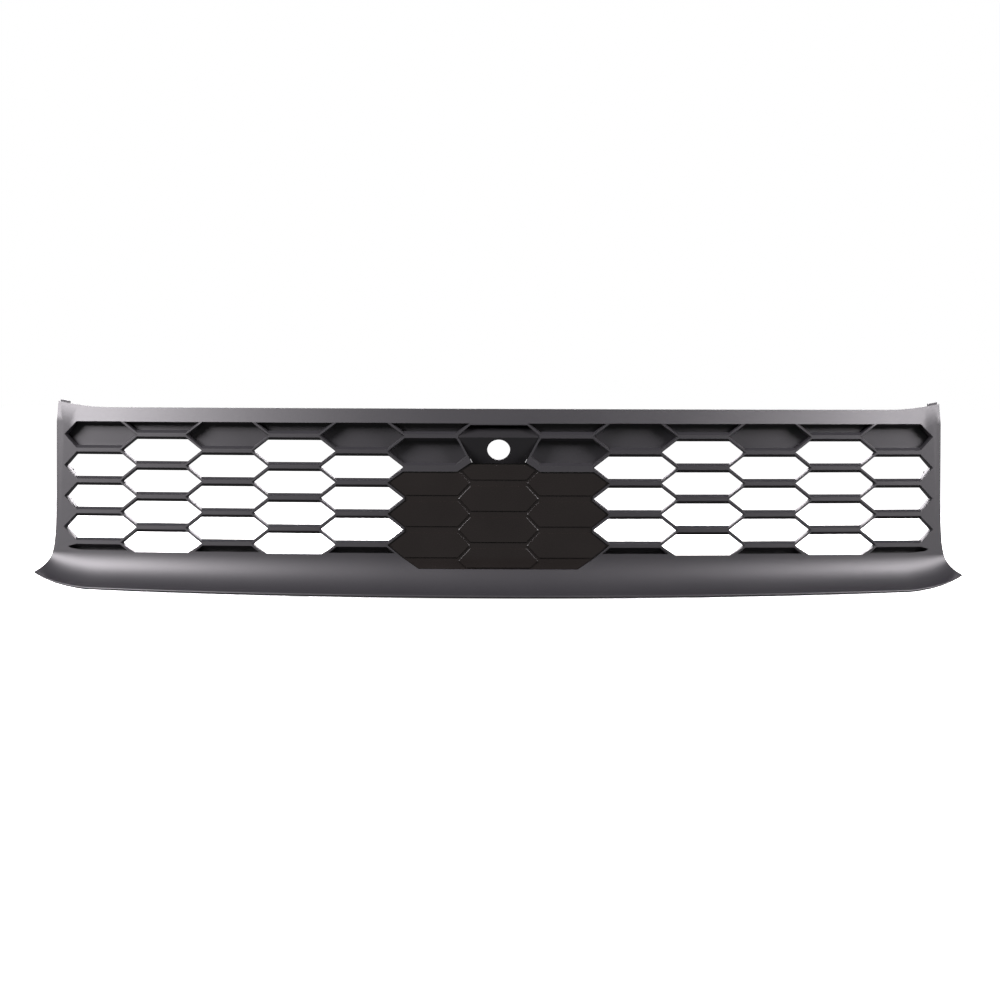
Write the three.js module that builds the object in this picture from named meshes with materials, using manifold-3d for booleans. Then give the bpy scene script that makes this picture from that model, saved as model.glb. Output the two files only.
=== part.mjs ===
// Front grille of a car: a moulded surround with a honeycomb field, a radar cover, a camera bezel
// and the screws, retainers, clips and seals that belong to it.
// Millimetres, +Z up, the front faces -Y and +X is to the right of someone who looks at the front.
// The form is worked out flat, as arc length s, depth y (rearwards) and height z, and then bent in plan.
import * as THREE from "three";
import { mergeVertices } from "three/addons/utils/BufferGeometryUtils.js";
import Module from "manifold-3d";

const wasm = await Module();
wasm.setup();

// ---- Driving dimensions -------------------------------------------------------------------------

// Overall form
const bendRadius = 1790; // plan radius of the front
const halfLength = 517; // half the arc length between the straight sides
const topEdge = 216; // height of the top edge at the middle
const fieldBottom = 49.6; // where the lip meets the honeycomb field
const bandHeight = 16; // height of the top band above the field
const fieldDepth = 15; // front to back thickness of the field
const skin = 3; // wall of the bands, lip and sides

// Top band and flange
const bandLean = 5.2; // how far the top edge leans back
const hemDrop = 3; // the flange lies this far under the top edge
const hemWidth = 2.8;
const flangeReach = 16; // the flange reaches this far behind the field
const flangeThickness = 2.5;
const cornerRise = 7; // the top edge climbs this much at the ends
const cornerRun = 66; // over this length

// Lip
const lipEdge = 1.5; // height of the lip's lower edge at the middle
const coveAngle = 60; // degrees turned forward by the cove, from the field to the lip's edge
const noseRadius = 2;
const returnReach = 12; // the floor behind the lip's edge reaches back to this depth
const returnThickness = 2.5;
const lipBow = 7; // the lower edge climbs this much from the middle to the ends
const tipRise = 18; // and this much more in the tips
const tipRun = 56;
const tipFlare = 18; // the tips stand this far outside the straight sides
const flareTop = 112; // the flare starts at this height
const flareRun = 30; // and takes up this much of the length
const sideWallReach = 13; // behind the field

// Honeycomb field
const columnPitch = 78;
const rowPitch = 35.5;
const evenRow = 42.8; // height of the lowest row centre in the even columns
const sideBand = 11.3; // between the points of the outermost cells and the sides
const cellVertex = 47; // half the width of an opening, point to point
const cellFlat = 30.8; // half the width of its flats
const cellHalfHeight = 12.5;
const endPoint = 11.4; // length of the blunter points beside the side bands
const bevelRise = 3.1; // the front bevel widens the opening up and down by this much
const bevelPoint = 2; // and by this much at its points
const bevelFlat = 1.8; // while the flats get shorter by this much
const bevelDepth = 4;
const pointDraft = 2.2; // the openings widen to the rear by this much at their points
const flatDraft = 1.6; // by this much at their flats
const rowDraft = 0.6; // and by this much up and down
const blankFloor = 12.5; // depth of the floor in the blanked cells
const fieldCrown = 0.1; // the field is this much fuller at mid height, front and back

// Radar cover
const radarPoint = 125.9; // half width at the points
const radarNotch = 106.7; // and at the notches between them
const radarFoot = 34;
const radarFootHalf = 90.5;
const coverClearance = 0.4;
const coverSkin = 3;
const grooveDepth = 1.7; // depth of the grooves between the tiles
const tileDepth = 0.6; // depth of the tile faces
const tileHalfHeight = 13.8;
const tileVertex = 44.5;
const tileFlat = 31.5;
const tileMargin = 1.5; // between the tiles and the edge of the cover
const coverSkirt = 2;
const flangeLap = 2; // the cover and the bezel reach this far behind the field's edge
const flangeSheet = 1.9;
const earThickness = 2.5;
const earWidth = 9.6;
const earReach = 13; // from the screw back into the cover

// Camera bezel and bracket
const bezelHeight = 43.6;
const bezelTopHalf = 32;
const bezelCornerDrop = 11.7; // the upper corners are cut off down to here
const bezelCornerHalf = 45.5;
const bezelFoldRise = 29.9; // height of the fold above the foot
const bezelFoldOut = 1; // the fold stands this far in front of the field
const bezelTopDepth = 11; // depth of the plate's upper edge
const bezelFootHalf = 29.6;
const bezelFootRise = 4.3; // above the middle of the bar under it
const bezelFootDepth = 13;
const bezelRim = 2.2; // wall left between its window and the blanked cells beside it
const bezelSkin = 2.5;
const bezelFlangeStart = 5; // height of the rear flange's lower end above the foot
const bezelLegInside = 29.5; // legs behind the plate, on both sides of the cradle
const bezelLegOutside = 34;
const cameraScrewPlace = 56;
const cameraEarHeight = 11;
const cameraHoleRadius = 13;
const cameraHoleRise = 15.5; // above the foot
const cradleInside = 30;
const cradleWall = 2;
const cradleLength = 20;
const cradleStand = 6; // the cradle starts this far behind the field

// Fasteners
const gap = 0.3; // between pieces that touch
const bossRadius = 4.6;
const bossStand = 7; // the camera bosses stand this far behind the field
const bossHole = 1.9;
const screwShank = 1.6;
const screwGrip = 7; // length in the boss
const screwHead = 3.6;
const screwHeadHeight = 2.2;
const retainerHead = 8.5;
const retainerHeadHeight = 1.4;
const retainerShank = 3.9;
const retainerBarb = 4.9;
const retainerLength = 12;
const retainerBore = 2.3;
const pinShank = 1.9;
const pinHead = 5;
const pinHeadHeight = 1.1;
const retainerHoleClearance = 0.35;
const retainerStand = 5.5; // its axis is this far behind the field
const clipThickness = 0.8;
const clipWidth = 15;
const clipGrip = 14; // how far a clip reaches over its tab
const tabWidth = 24;
const tabThickness = 2.5;
const tabReach = 21; // the lower tabs end this far behind the field
const tabHeight = 1.5; // underside of the lower tabs above the lower edge
const sideTabReach = 31;
const sideTabHeight = 132;
const rearBossRadius = 5;
const rearBossStand = 19;
const rearBossPlace = 312;
const rearBossDrop = 20; // below the top of the field
const sideNutRadius = 4.5;
const sideNutLength = 4;
const sideNutHole = 2.3;
const cornerTabStand = 2.5; // the locating tabs stand this far above the top corners

// Seals
const sealThickness = 6;
const sealWidth = 12;
const sealDrop = 2; // below the top of the field
const sealStart = 72;
const sealMargin = 6; // from the seals to the side bands

// Places along the length
const retainerPitch = 172;
const retainerMargin = 60; // kept free at both ends
const lowerClipPitch = 156;
const lowerClipMargin = 100;
const radarSideScrew = 133;
const radarFootScrew = 60;

// How finely long and round pieces are drawn
const stationPitch = 40;
const roundSides = 12;

// ---- Values that follow ------------------------------------------------------------------------

const originDepth = fieldDepth + 1; // the origin lies on the top flange, just behind the field
const flangeRear = fieldDepth + flangeReach;
const sideWallRear = fieldDepth + sideWallReach;
const retainerDepth = fieldDepth + retainerStand;
const tabRear = fieldDepth + tabReach;
const sideTabRear = fieldDepth + sideTabReach;
const rearBossRear = fieldDepth + rearBossStand;
const fieldTop = topEdge - bandHeight;
const flangeTop = topEdge - hemDrop;
const flangeUnder = flangeTop - flangeThickness;
const fieldRear = fieldDepth + gap; // where pieces behind the field start
const tipHeight = lipBow + tipRise;
const coveSine = Math.sin((coveAngle * Math.PI) / 180);
const coveRadius = (fieldBottom - lipEdge - noseRadius * (1 + coveSine)) / coveSine;
const halfBar = rowPitch / 2 - cellHalfHeight;
const lastColumn = Math.floor((halfLength - sideBand) / columnPitch);
const endVertex = halfLength - sideBand - lastColumn * columnPitch;
const endFlat = endVertex - endPoint;
const topRow = Math.floor((fieldTop - evenRow) / rowPitch);
const bezelRoom = fieldTop - bezelHeight - bezelFootRise - evenRow;
const radarRowCount = Math.floor(bezelRoom / rowPitch);
const upperBar = evenRow + radarRowCount * rowPitch; // bar above the radar cover
const radarTop = upperBar - halfBar;
const radarRows = Array.from({ length: radarRowCount }, (_, i) => upperBar - (i + 0.5) * rowPitch);
const bezelFoot = upperBar + bezelFootRise;
const bezelTop = bezelFoot + bezelHeight;
const bezelCorner = bezelTop - bezelCornerDrop;
const bezelFold = bezelFoot + bezelFoldRise;
const cameraHoleHeight = bezelFoot + cameraHoleRise;
const bezelSlope = Math.atan2(bezelFootDepth + bezelFoldOut, bezelFold - bezelFoot);
const cameraHoleDepth = (bezelFold - cameraHoleHeight) * Math.tan(bezelSlope) - bezelFoldOut;
const cameraEarFront = fieldDepth + bossStand + gap;
const cradleFront = fieldDepth + cradleStand;
const bracketFront = cameraEarFront + earThickness + gap;
const bracketRear = bracketFront + earThickness;
const radians = THREE.MathUtils.degToRad;
const clamp = THREE.MathUtils.clamp;
const sides = [-1, 1];
const retainerPlaces = evenPlaces(retainerPitch, halfLength - retainerMargin);
const lowerClipPlaces = evenPlaces(lowerClipPitch, halfLength - lowerClipMargin);

// Places at an even pitch on both sides of the middle, up to a limit.
function evenPlaces(pitch, limit) {
  const count = Math.floor(limit / pitch + 0.5);
  const right = Array.from({ length: count }, (_, i) => (i + 0.5) * pitch);
  return [...right.map((s) => -s).reverse(), ...right];
}

// ---- The bend ----------------------------------------------------------------------------------

// How far the lip climbs towards the tips.
function lipClimb(s, z) {
  const along = Math.abs(s) / halfLength;
  const tip = Math.max(0, (Math.abs(s) - halfLength + tipRun) / tipRun);
  const share = clamp(1 - z / fieldBottom, 0, 1);
  return (lipBow * along ** 2 + tipRise * tip ** 3) * share;
}

// How far the top band climbs towards the corners.
function cornerClimb(s, z) {
  const run = Math.max(0, (Math.abs(s) - halfLength + cornerRun) / cornerRun);
  const share = clamp((z - fieldTop) / (topEdge - fieldTop), 0, 1);
  return cornerRise * run ** 2 * share;
}

// How far the ends sweep out into the tips.
function tipSweep(s, height) {
  const down = clamp((flareTop - height) / (flareTop - tipHeight), 0, 1);
  const out = clamp((Math.abs(s) - halfLength + flareRun) / flareRun, 0, 1);
  return Math.sign(s) * tipFlare * (0.15 * down + 0.85 * down ** 5) * out;
}

// The point of the finished part that belongs to a point of the flat layout.
function bent(s, y, z) {
  const height = z + lipClimb(s, z) + cornerClimb(s, z);
  const angle = (s + tipSweep(s, height)) / bendRadius;
  const x = (bendRadius - y) * Math.sin(angle);
  const depth = bendRadius - (bendRadius - y) * Math.cos(angle);
  return new THREE.Vector3(x, depth - originDepth, height - flangeTop);
}

// ---- Solids ------------------------------------------------------------------------------------

// A closed geometry as a solid that faces outwards.
function solid(geometry) {
  geometry.deleteAttribute("normal");
  geometry.deleteAttribute("uv");
  const merged = mergeVertices(geometry, 1e-4);
  const position = merged.getAttribute("position");
  const corner = (i) => new THREE.Vector3().fromBufferAttribute(position, merged.index.getX(i));
  const kept = [];
  let volume = 0;
  for (let i = 0; i < merged.index.count; i += 3) {
    const [a, b, c] = [0, 1, 2].map((j) => merged.index.getX(i + j));
    if (a === b || b === c || c === a) continue;
    kept.push([a, b, c]);
    volume += corner(i).dot(corner(i + 1).cross(corner(i + 2)));
  }
  const faces = volume < 0 ? kept.map(([a, b, c]) => [a, c, b]) : kept;
  const triVerts = new Uint32Array(faces.flat());
  const mesh = new wasm.Mesh({ numProp: 3, vertProperties: position.array, triVerts });
  return new wasm.Manifold(mesh);
}

function geometryOf(body) {
  const mesh = body.getMesh();
  const geometry = new THREE.BufferGeometry();
  geometry.setAttribute("position", new THREE.BufferAttribute(mesh.vertProperties, 3));
  geometry.setIndex(new THREE.BufferAttribute(mesh.triVerts, 1));
  geometry.computeVertexNormals();
  return geometry;
}

function joined(bodies) {
  return bodies.reduce((whole, body) => whole.add(body));
}

function without(body, cutters) {
  return cutters.reduce((rest, cutter) => rest.subtract(cutter), body);
}

// Extrudes an outline through a list of positions and moves each point to its place.
function prism(points, positions, place) {
  const shape = new THREE.Shape(points.map(([x, y]) => new THREE.Vector2(x, y)));
  const steps = positions.length - 1;
  const geometry = new THREE.ExtrudeGeometry(shape, { depth: steps, steps, bevelEnabled: false });
  const position = geometry.getAttribute("position");
  for (let i = 0; i < position.count; i += 1) {
    const along = positions[Math.round(position.getZ(i))];
    const point = place(position.getX(i), position.getY(i), along);
    position.setXYZ(i, point.x, point.y, point.z);
  }
  return solid(geometry);
}

// Even stations from one place along the length to another.
function stations(from, to) {
  const count = Math.ceil((to - from) / stationPitch);
  return Array.from({ length: count + 1 }, (_, i) => from + ((to - from) * i) / count);
}

// Stations for the whole length, closer together where the tips rise.
function fullStations() {
  const inner = halfLength - tipRun;
  const end = [1, 2, 3, 4, 5].map((i) => inner + (tipRun * i) / 5);
  return [...end.map((s) => -s).reverse(), ...stations(-inner, inner), ...end];
}

// A section in depth and height, carried along the length.
function sweep(section, along) {
  return prism(section, along, (y, z, s) => bent(s, y, z));
}

function block([s0, s1], [y0, y1], [z0, z1]) {
  const section = [
    [y0, z0],
    [y1, z0],
    [y1, z1],
    [y0, z1],
  ];
  return sweep(section, stations(s0, s1));
}

// An outline in length and height, cut through from one depth to another.
function through(outline, from, to) {
  return prism(outline, [from, to], (s, z, y) => bent(s, y, z));
}

// Moves a rigid geometry, drawn around s = 0, to its place along the bend.
function settled(geometry, s, lift = 0) {
  geometry.translate(0, -bendRadius, lift - flangeTop);
  geometry.rotateZ(s / bendRadius);
  geometry.translate(0, bendRadius - originDepth, 0);
  return solid(geometry);
}

function rod(radius, s, z, from, to) {
  const geometry = new THREE.CylinderGeometry(radius, radius, to - from, roundSides);
  geometry.translate(0, (from + to) / 2, 0);
  geometry.translate(0, 0, z);
  return settled(geometry, s);
}

function turned(profile) {
  const points = profile.map(([radius, along]) => new THREE.Vector2(radius, along));
  return new THREE.LatheGeometry(points, roundSides);
}

// ---- Outlines ----------------------------------------------------------------------------------

function mirrored(half) {
  const other = half.filter(([s]) => s > 0).map(([s, z]) => [-s, z]);
  return [...half, ...other.reverse()];
}

// Moves every side of a closed outline outwards by a distance (inwards when it is negative).
// The outline runs clockwise.
function offset(outline, distance) {
  const count = outline.length;
  const side = (i) => {
    const [x0, y0] = outline[i % count];
    const [x1, y1] = outline[(i + 1) % count];
    const length = Math.hypot(x1 - x0, y1 - y0);
    return [-(y1 - y0) / length, (x1 - x0) / length];
  };
  return outline.map(([x, y], i) => {
    const [ax, ay] = side(i + count - 1);
    const [bx, by] = side(i);
    const scale = distance / (1 + ax * bx + ay * by);
    return [x + (ax + bx) * scale, y + (ay + by) * scale];
  });
}

function arc(centre, radius, from, to, count) {
  return Array.from({ length: count + 1 }, (_, i) => {
    const angle = from + ((to - from) * i) / count;
    return [centre[0] + radius * Math.cos(angle), centre[1] + radius * Math.sin(angle)];
  });
}

// The cove of the lip, at a distance behind its face, from the field down.
function cove(behind, turn = radians(coveAngle)) {
  return arc([-coveRadius, fieldBottom], coveRadius + behind, 0, -turn, 8);
}

// Depth of the cove's face at a height.
function coveDepth(z) {
  return Math.sqrt(coveRadius ** 2 - (fieldBottom - z) ** 2) - coveRadius;
}

// The face of the lip, from the field down round its edge and back along its floor.
function lipFace() {
  const turn = radians(coveAngle);
  const [y, z] = cove(0).at(-1);
  const centre = [y + noseRadius * Math.cos(turn), z - noseRadius * Math.sin(turn)];
  const nose = arc(centre, noseRadius, Math.PI - turn, 1.5 * Math.PI, 4);
  return [...cove(0), ...nose.slice(1), [returnReach, lipEdge]];
}

// The inner face of the lip, from the field down to the rear of its floor.
function lipInside() {
  const floor = lipEdge + returnThickness;
  const turn = Math.asin((fieldBottom - floor) / (coveRadius + skin));
  return [...cove(skin, turn).slice(1), [returnReach, floor]];
}

// Points down the field, from where the flare starts to the lip, on a face at a given depth.
function rungs(depth, swell) {
  const steps = [0, 1, 2, 3].map((i) => i / 4);
  return steps.map((step) => {
    const z = flareTop + (fieldBottom - flareTop) * step;
    const up = (z - fieldBottom) / (fieldTop - fieldBottom);
    return [depth + swell * 4 * up * (1 - up), z];
  });
}

// Section of the whole moulding through the field.
function mouldingSection() {
  const band = [
    [hemWidth + bandLean, topEdge],
    [bandLean, topEdge],
  ];
  const outer = [...band, [0, fieldTop], ...rungs(0, -fieldCrown), ...lipFace()];
  const channel = fieldTop + flangeThickness;
  return [
    ...outer,
    ...lipInside().reverse(),
    [fieldDepth, fieldBottom - skin],
    ...rungs(fieldDepth, fieldCrown).reverse(),
    [fieldDepth, channel],
    [bandLean + 1, channel],
    [bandLean + hemWidth, flangeUnder],
    [flangeRear, flangeUnder],
    [flangeRear, flangeTop],
    [hemWidth + bandLean, flangeTop],
  ];
}

// Section that closes the ends.
function endSection() {
  return [
    [bandLean, topEdge],
    [0, fieldTop],
    ...rungs(0, -fieldCrown),
    ...lipFace(),
    [sideWallRear, fieldBottom],
    ...rungs(sideWallRear, fieldCrown).reverse(),
    [sideWallRear, flangeTop],
    [hemWidth + bandLean, flangeTop],
    [hemWidth + bandLean, topEdge],
  ];
}

function hexagon(column, row, vertex, flat, halfHeight) {
  const centre = column * columnPitch;
  const outside = column === lastColumn ? [endVertex, endFlat] : [vertex, flat];
  const inside = column === -lastColumn ? [endVertex, endFlat] : [vertex, flat];
  return [
    [centre - inside[0], row],
    [centre - inside[1], row + halfHeight],
    [centre + outside[1], row + halfHeight],
    [centre + outside[0], row],
    [centre + outside[1], row - halfHeight],
    [centre - inside[1], row - halfHeight],
  ];
}

// Keeps the part of a convex outline between two heights.
function between(outline, low, high) {
  const keep = (points, limit, sign) =>
    points.flatMap(([s, z], i) => {
      const [nextS, nextZ] = points[(i + 1) % points.length];
      const here = sign * (z - limit) >= 0;
      const there = sign * (nextZ - limit) >= 0;
      const kept = here ? [[s, z]] : [];
      if (here === there) return kept;
      const share = (limit - z) / (nextZ - z);
      return [...kept, [s + (nextS - s) * share, limit]];
    });
  return keep(keep(outline, low, 1), high, -1);
}

// The lowest cells of the outermost columns: slots that taper to a point above the lip.
function taperedSlot(column, row) {
  const side = Math.sign(column);
  const centre = column * columnPitch;
  const inner = cellVertex - ((cellVertex - cellFlat) * (fieldBottom - row)) / cellHalfHeight;
  const outline = [
    [-inner, fieldBottom],
    [-cellFlat, row + cellHalfHeight],
    [endFlat, row + cellHalfHeight],
    [endVertex - 3, row + 10.4],
    [endVertex - 8, row + 8.5],
    [endVertex - 22, fieldBottom],
  ];
  return outline.map(([s, z]) => [centre + side * s, z]);
}

// Cuts one cell to a depth, with its front bevel and the draft of its walls.
function cellCutter(column, row, depth) {
  const opening = hexagon(column, row, cellVertex, cellFlat, cellHalfHeight);
  const slot = Math.abs(column) === lastColumn && row < fieldBottom;
  const outline = slot ? taperedSlot(column, row) : between(opening, fieldBottom, fieldTop);
  const front = -bevelDepth;
  return prism(outline, [front, bevelDepth, depth], (s, z, y) => {
    const open = Math.max(0, (bevelDepth - y) / bevelDepth);
    const back = Math.max(0, (y - bevelDepth) / (fieldDepth - bevelDepth));
    const fromCentre = (z - row) / cellHalfHeight;
    const side = Math.sign(s - column * columnPitch);
    const widen = bevelPoint - (bevelPoint + bevelFlat) * Math.abs(fromCentre);
    const draft = pointDraft - (pointDraft - flatDraft) * Math.abs(fromCentre);
    const rise = (open * bevelRise + back * rowDraft) * fromCentre;
    const height = clamp(z + rise, fieldBottom, fieldTop);
    return bent(s + side * (open * widen + back * draft), y, height);
  });
}

// The radar cover's outline, up to a height at its middle.
function radarOutline(top) {
  const teeth = radarRows.flatMap((row) => [
    [radarNotch, row + rowPitch / 2 - halfBar / 2],
    [radarPoint, row],
    [radarNotch, row - rowPitch / 2 + halfBar / 2],
  ]);
  const half = [
    [0, top],
    [bezelFootHalf + 2, top],
    [columnPitch - cellFlat, radarTop],
    [columnPitch + cellFlat, radarTop],
    ...teeth.slice(1, -1),
    [columnPitch + cellFlat, fieldBottom - bevelRise],
    [radarFootHalf, radarFoot],
    [0, radarFoot],
  ];
  return mirrored(half);
}

function bezelOutline() {
  const half = [
    [0, bezelTop],
    [bezelTopHalf, bezelTop],
    [bezelCornerHalf, bezelCorner],
    [bezelCornerHalf, bezelFold],
    [bezelFootHalf, bezelFoot],
    [0, bezelFoot],
  ];
  return mirrored(half);
}

// ---- Grille moulding ---------------------------------------------------------------------------

// The cells of one column that aren't under the radar cover, blanked ones with their floor.
function columnCutters(column) {
  const distance = Math.abs(column);
  const even = distance % 2 === 0;
  const first = even ? evenRow : evenRow + rowPitch / 2;
  const cutters = [];
  for (let index = distance === 1 ? radarRowCount : 0; index <= topRow; index += 1) {
    const blank = index === topRow || (even && index === 0) || distance === 1;
    const depth = blank ? blankFloor : fieldDepth + bevelDepth;
    cutters.push(cellCutter(column, first + index * rowPitch, depth));
  }
  return cutters;
}

function fieldCutters() {
  const rim = through(offset(bezelOutline(), coverClearance + bezelRim), -fieldDepth, fieldDepth);
  const columns = Array.from({ length: lastColumn }, (_, i) => i + 1);
  const cutters = columns.flatMap((i) => [...columnCutters(-i), ...columnCutters(i)]);
  return cutters.map((cutter) => cutter.subtract(rim));
}

// Screws of the radar cover: place along the length, height, and the way back into the cover.
function radarScrews() {
  const ends = radarRows.slice(0, 2).flatMap((z) => [
    { s: -radarSideScrew, z, inwards: [1, 0] },
    { s: radarSideScrew, z, inwards: [-1, 0] },
  ]);
  const rows = [
    { z: upperBar, s: columnPitch, inwards: [0, -1] },
    { z: radarFoot - bossRadius - 1, s: radarFootScrew, inwards: [0, 1] },
  ];
  const others = rows.flatMap((row) => [{ ...row, s: -row.s }, row]);
  return [...ends, ...others];
}

function cameraScrews() {
  return [-cameraScrewPlace, cameraScrewPlace].map((s) => ({ s, z: cameraHoleHeight }));
}

function rearBoss(side) {
  const z = fieldTop - rearBossDrop;
  return rod(rearBossRadius, side * rearBossPlace, z, fieldDepth - 1, rearBossRear);
}

function bosses() {
  const low = radarScrews().filter(({ z }) => z < radarFoot);
  const start = (z) => coveDepth(z + bossRadius) + skin / 6;
  const lip = low.map(({ s, z }) => rod(bossRadius, s, z, start(z), fieldDepth));
  const rear = fieldDepth + bossStand;
  const camera = cameraScrews().map(({ s, z }) => rod(bossRadius, s, z, fieldDepth - 1, rear));
  return [...lip, ...camera, ...sides.map(rearBoss)];
}

function screwHoles() {
  const radar = radarScrews().map(({ s, z }) =>
    rod(bossHole, s, z, fieldDepth - screwGrip - gap, fieldDepth + gap),
  );
  const rear = fieldDepth + bossStand;
  const camera = cameraScrews().map(({ s, z }) =>
    rod(bossHole, s, z, rear - screwGrip - gap, rear + gap),
  );
  const end = rearBossRear;
  const free = sides.map((side) =>
    rod(bossHole, side * rearBossPlace, fieldTop - rearBossDrop, end - 2 * screwGrip, end + gap),
  );
  return [...radar, ...camera, ...free];
}

function retainerHole(s) {
  const radius = retainerShank + retainerHoleClearance;
  const geometry = new THREE.CylinderGeometry(radius, radius, 2 * flangeThickness, roundSides);
  geometry.rotateX(Math.PI / 2);
  geometry.translate(0, retainerDepth, (flangeTop + flangeUnder) / 2);
  return settled(geometry, s);
}

function lowerTab(s) {
  const front = returnReach - skin;
  const geometry = new THREE.BoxGeometry(tabWidth, tabRear - front, tabThickness);
  geometry.translate(0, (tabRear + front) / 2, tabHeight + tabThickness / 2);
  return settled(geometry, s, lipClimb(s, tabHeight));
}

function sideTab(side) {
  const front = sideWallRear - skin;
  const geometry = new THREE.BoxGeometry(tabThickness, sideTabRear - front, tabWidth);
  geometry.translate(0, (sideTabRear + front) / 2, sideTabHeight);
  const hole = new THREE.CylinderGeometry(1, 1, 4 * tabThickness, roundSides);
  const radius = sideNutHole + 1;
  hole.scale(radius, 1, radius);
  hole.rotateZ(Math.PI / 2);
  hole.translate(0, sideTabRear - clipGrip / 2 - clipThickness, sideTabHeight);
  const place = side * (halfLength - skin / 2);
  return settled(geometry, place).subtract(settled(hole, place));
}

function cornerTab(side) {
  const [near, far] = [halfLength - 13, halfLength - 2].map((s) => side * s);
  const depth = [bandLean + hemWidth - 1, bandLean + hemWidth + 2];
  const along = [Math.min(near, far), Math.max(near, far)];
  return block(along, depth, [flangeUnder + 1, topEdge + cornerTabStand]);
}

function endWall(side) {
  const along = [side * halfLength, side * (halfLength - skin)].sort((a, b) => a - b);
  return sweep(endSection(), along);
}

function grilleMoulding() {
  const beyond = fieldDepth + 3 * bevelDepth;
  const radarWindow = through(offset(radarOutline(bezelFoot + 1), coverClearance), -beyond, beyond);
  const bezelWindow = through(offset(bezelOutline(), coverClearance), -beyond, beyond);
  const body = sweep(mouldingSection(), fullStations());
  const open = without(body, [...fieldCutters(), radarWindow, bezelWindow]);
  const ends = sides.flatMap((side) => [endWall(side), sideTab(side), cornerTab(side)]);
  const tabs = lowerClipPlaces.map(lowerTab);
  const whole = joined([open, ...ends, ...tabs, ...bosses()]);
  return without(whole, [...screwHoles(), ...retainerPlaces.map(retainerHole)]);
}

// ---- Radar cover -------------------------------------------------------------------------------

// A sheet that follows the front of the field and the cove, between two depths.
function faceSheet(front, rear, top) {
  return sweep(
    [[front, top], ...cove(front), ...cove(rear).reverse(), [rear, top]],
    stations(-radarPoint - coverSkin, radarPoint + coverSkin),
  );
}

function radarTiles(outline) {
  const beyond = fieldDepth + bevelDepth;
  const places = [
    ...Array.from({ length: radarRowCount + 1 }, (_, i) => [0, evenRow + i * rowPitch]),
    ...radarRows.flatMap((row) => [
      [-1, row],
      [1, row],
    ]),
  ];
  const tiles = places.map(([column, row]) =>
    through(hexagon(column, row, tileVertex, tileFlat, tileHalfHeight), -beyond, beyond),
  );
  const sheet = faceSheet(tileDepth, grooveDepth + coverSkin / 2, bezelFoot);
  const within = through(offset(outline, -tileMargin), -beyond, beyond);
  return joined(tiles).intersect(within).intersect(sheet);
}

function radarEar({ s, z, inwards: [across, up] }) {
  const half = earWidth / 2;
  const along = [s - half, s + half, s + across * earReach];
  const high = [z - half, z + half, z + up * earReach];
  return block(
    [Math.min(...along), Math.max(...along)],
    [fieldRear, fieldRear + earThickness],
    [Math.min(...high), Math.max(...high)],
  );
}

function radarCover() {
  const outline = radarOutline(bezelFoot - 2 * coverClearance);
  const rear = fieldRear + earThickness;
  const beyond = fieldDepth + bevelDepth;
  const sheet = faceSheet(grooveDepth, grooveDepth + coverSkin, bezelFoot);
  const face = through(outline, -beyond, rear).intersect(sheet);
  const start = grooveDepth + coverSkin - 1;
  const wall = through(outline, start, rear);
  const inside = through(offset(outline, -coverSkirt), start - 1, rear + 1);
  const flange = through(offset(outline, flangeLap), rear - flangeSheet, rear);
  const ears = radarScrews().map(radarEar);
  const shell = wall.add(flange).subtract(inside);
  const whole = joined([face, shell, ...ears, radarTiles(outline)]);
  const holes = radarScrews().map(({ s, z }) => rod(bossHole, s, z, fieldRear - 1, rear + 1));
  return without(whole, holes);
}

// ---- Camera bezel and bracket ------------------------------------------------------------------

// Moves a geometry drawn around the camera's axis, which runs along +Z, to its place.
function aimed(geometry) {
  geometry.rotateX(-Math.PI / 2 + bezelSlope);
  geometry.translate(0, cameraHoleDepth, cameraHoleHeight);
  return settled(geometry, 0);
}

function cameraHole() {
  const radius = cameraHoleRadius;
  const geometry = new THREE.CylinderGeometry(radius, radius, 4 * radius, 2 * roundSides);
  geometry.rotateX(Math.PI / 2);
  return aimed(geometry);
}

function cameraEar(side, depth) {
  const end = cameraScrewPlace + cameraEarHeight / 2;
  const along = [side * bezelLegInside, side * end].sort((a, b) => a - b);
  const high = [cameraHoleHeight - cameraEarHeight / 2, cameraHoleHeight + cameraEarHeight / 2];
  return block(along, [depth, depth + earThickness], high);
}

// Depth of the middle of the plate under the fold.
function plateDepth(z) {
  return (bezelFold - z) * Math.tan(bezelSlope) - bezelFoldOut + bezelSkin / 2;
}

function bezelLeg(side) {
  const along = [side * bezelLegInside, side * bezelLegOutside].sort((a, b) => a - b);
  const low = cameraHoleHeight - cameraEarHeight / 2;
  const high = cameraHoleHeight + cameraEarHeight / 2;
  const rear = cameraEarFront + earThickness;
  const front = (z) => [plateDepth(z), z];
  return sweep([front(low), [rear, low], [rear, high], front(high)], along);
}

// Walls behind the sides and top of the plate, with a flange that laps behind the field.
function bezelSkirt() {
  const rear = fieldRear + earThickness;
  const low = bezelFoot + bezelFlangeStart;
  const half = bezelSkin / 2;
  const room = sweep(
    [
      [bezelTopDepth + half, bezelTop + flangeLap],
      [half - bezelFoldOut, bezelFold],
      [plateDepth(low), low],
      [rear, low],
      [rear, bezelTop + flangeLap],
    ],
    stations(-bezelCornerHalf - flangeLap, bezelCornerHalf + flangeLap),
  );
  const outline = bezelOutline();
  const inside = through(offset(outline, -coverSkirt), -bezelFoldOut - 1, rear + 1);
  const wall = through(outline, -bezelFoldOut - 1, rear);
  const flange = through(offset(outline, flangeLap - 0.2), rear - flangeSheet, rear);
  return wall.add(flange).subtract(inside).intersect(room);
}

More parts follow.
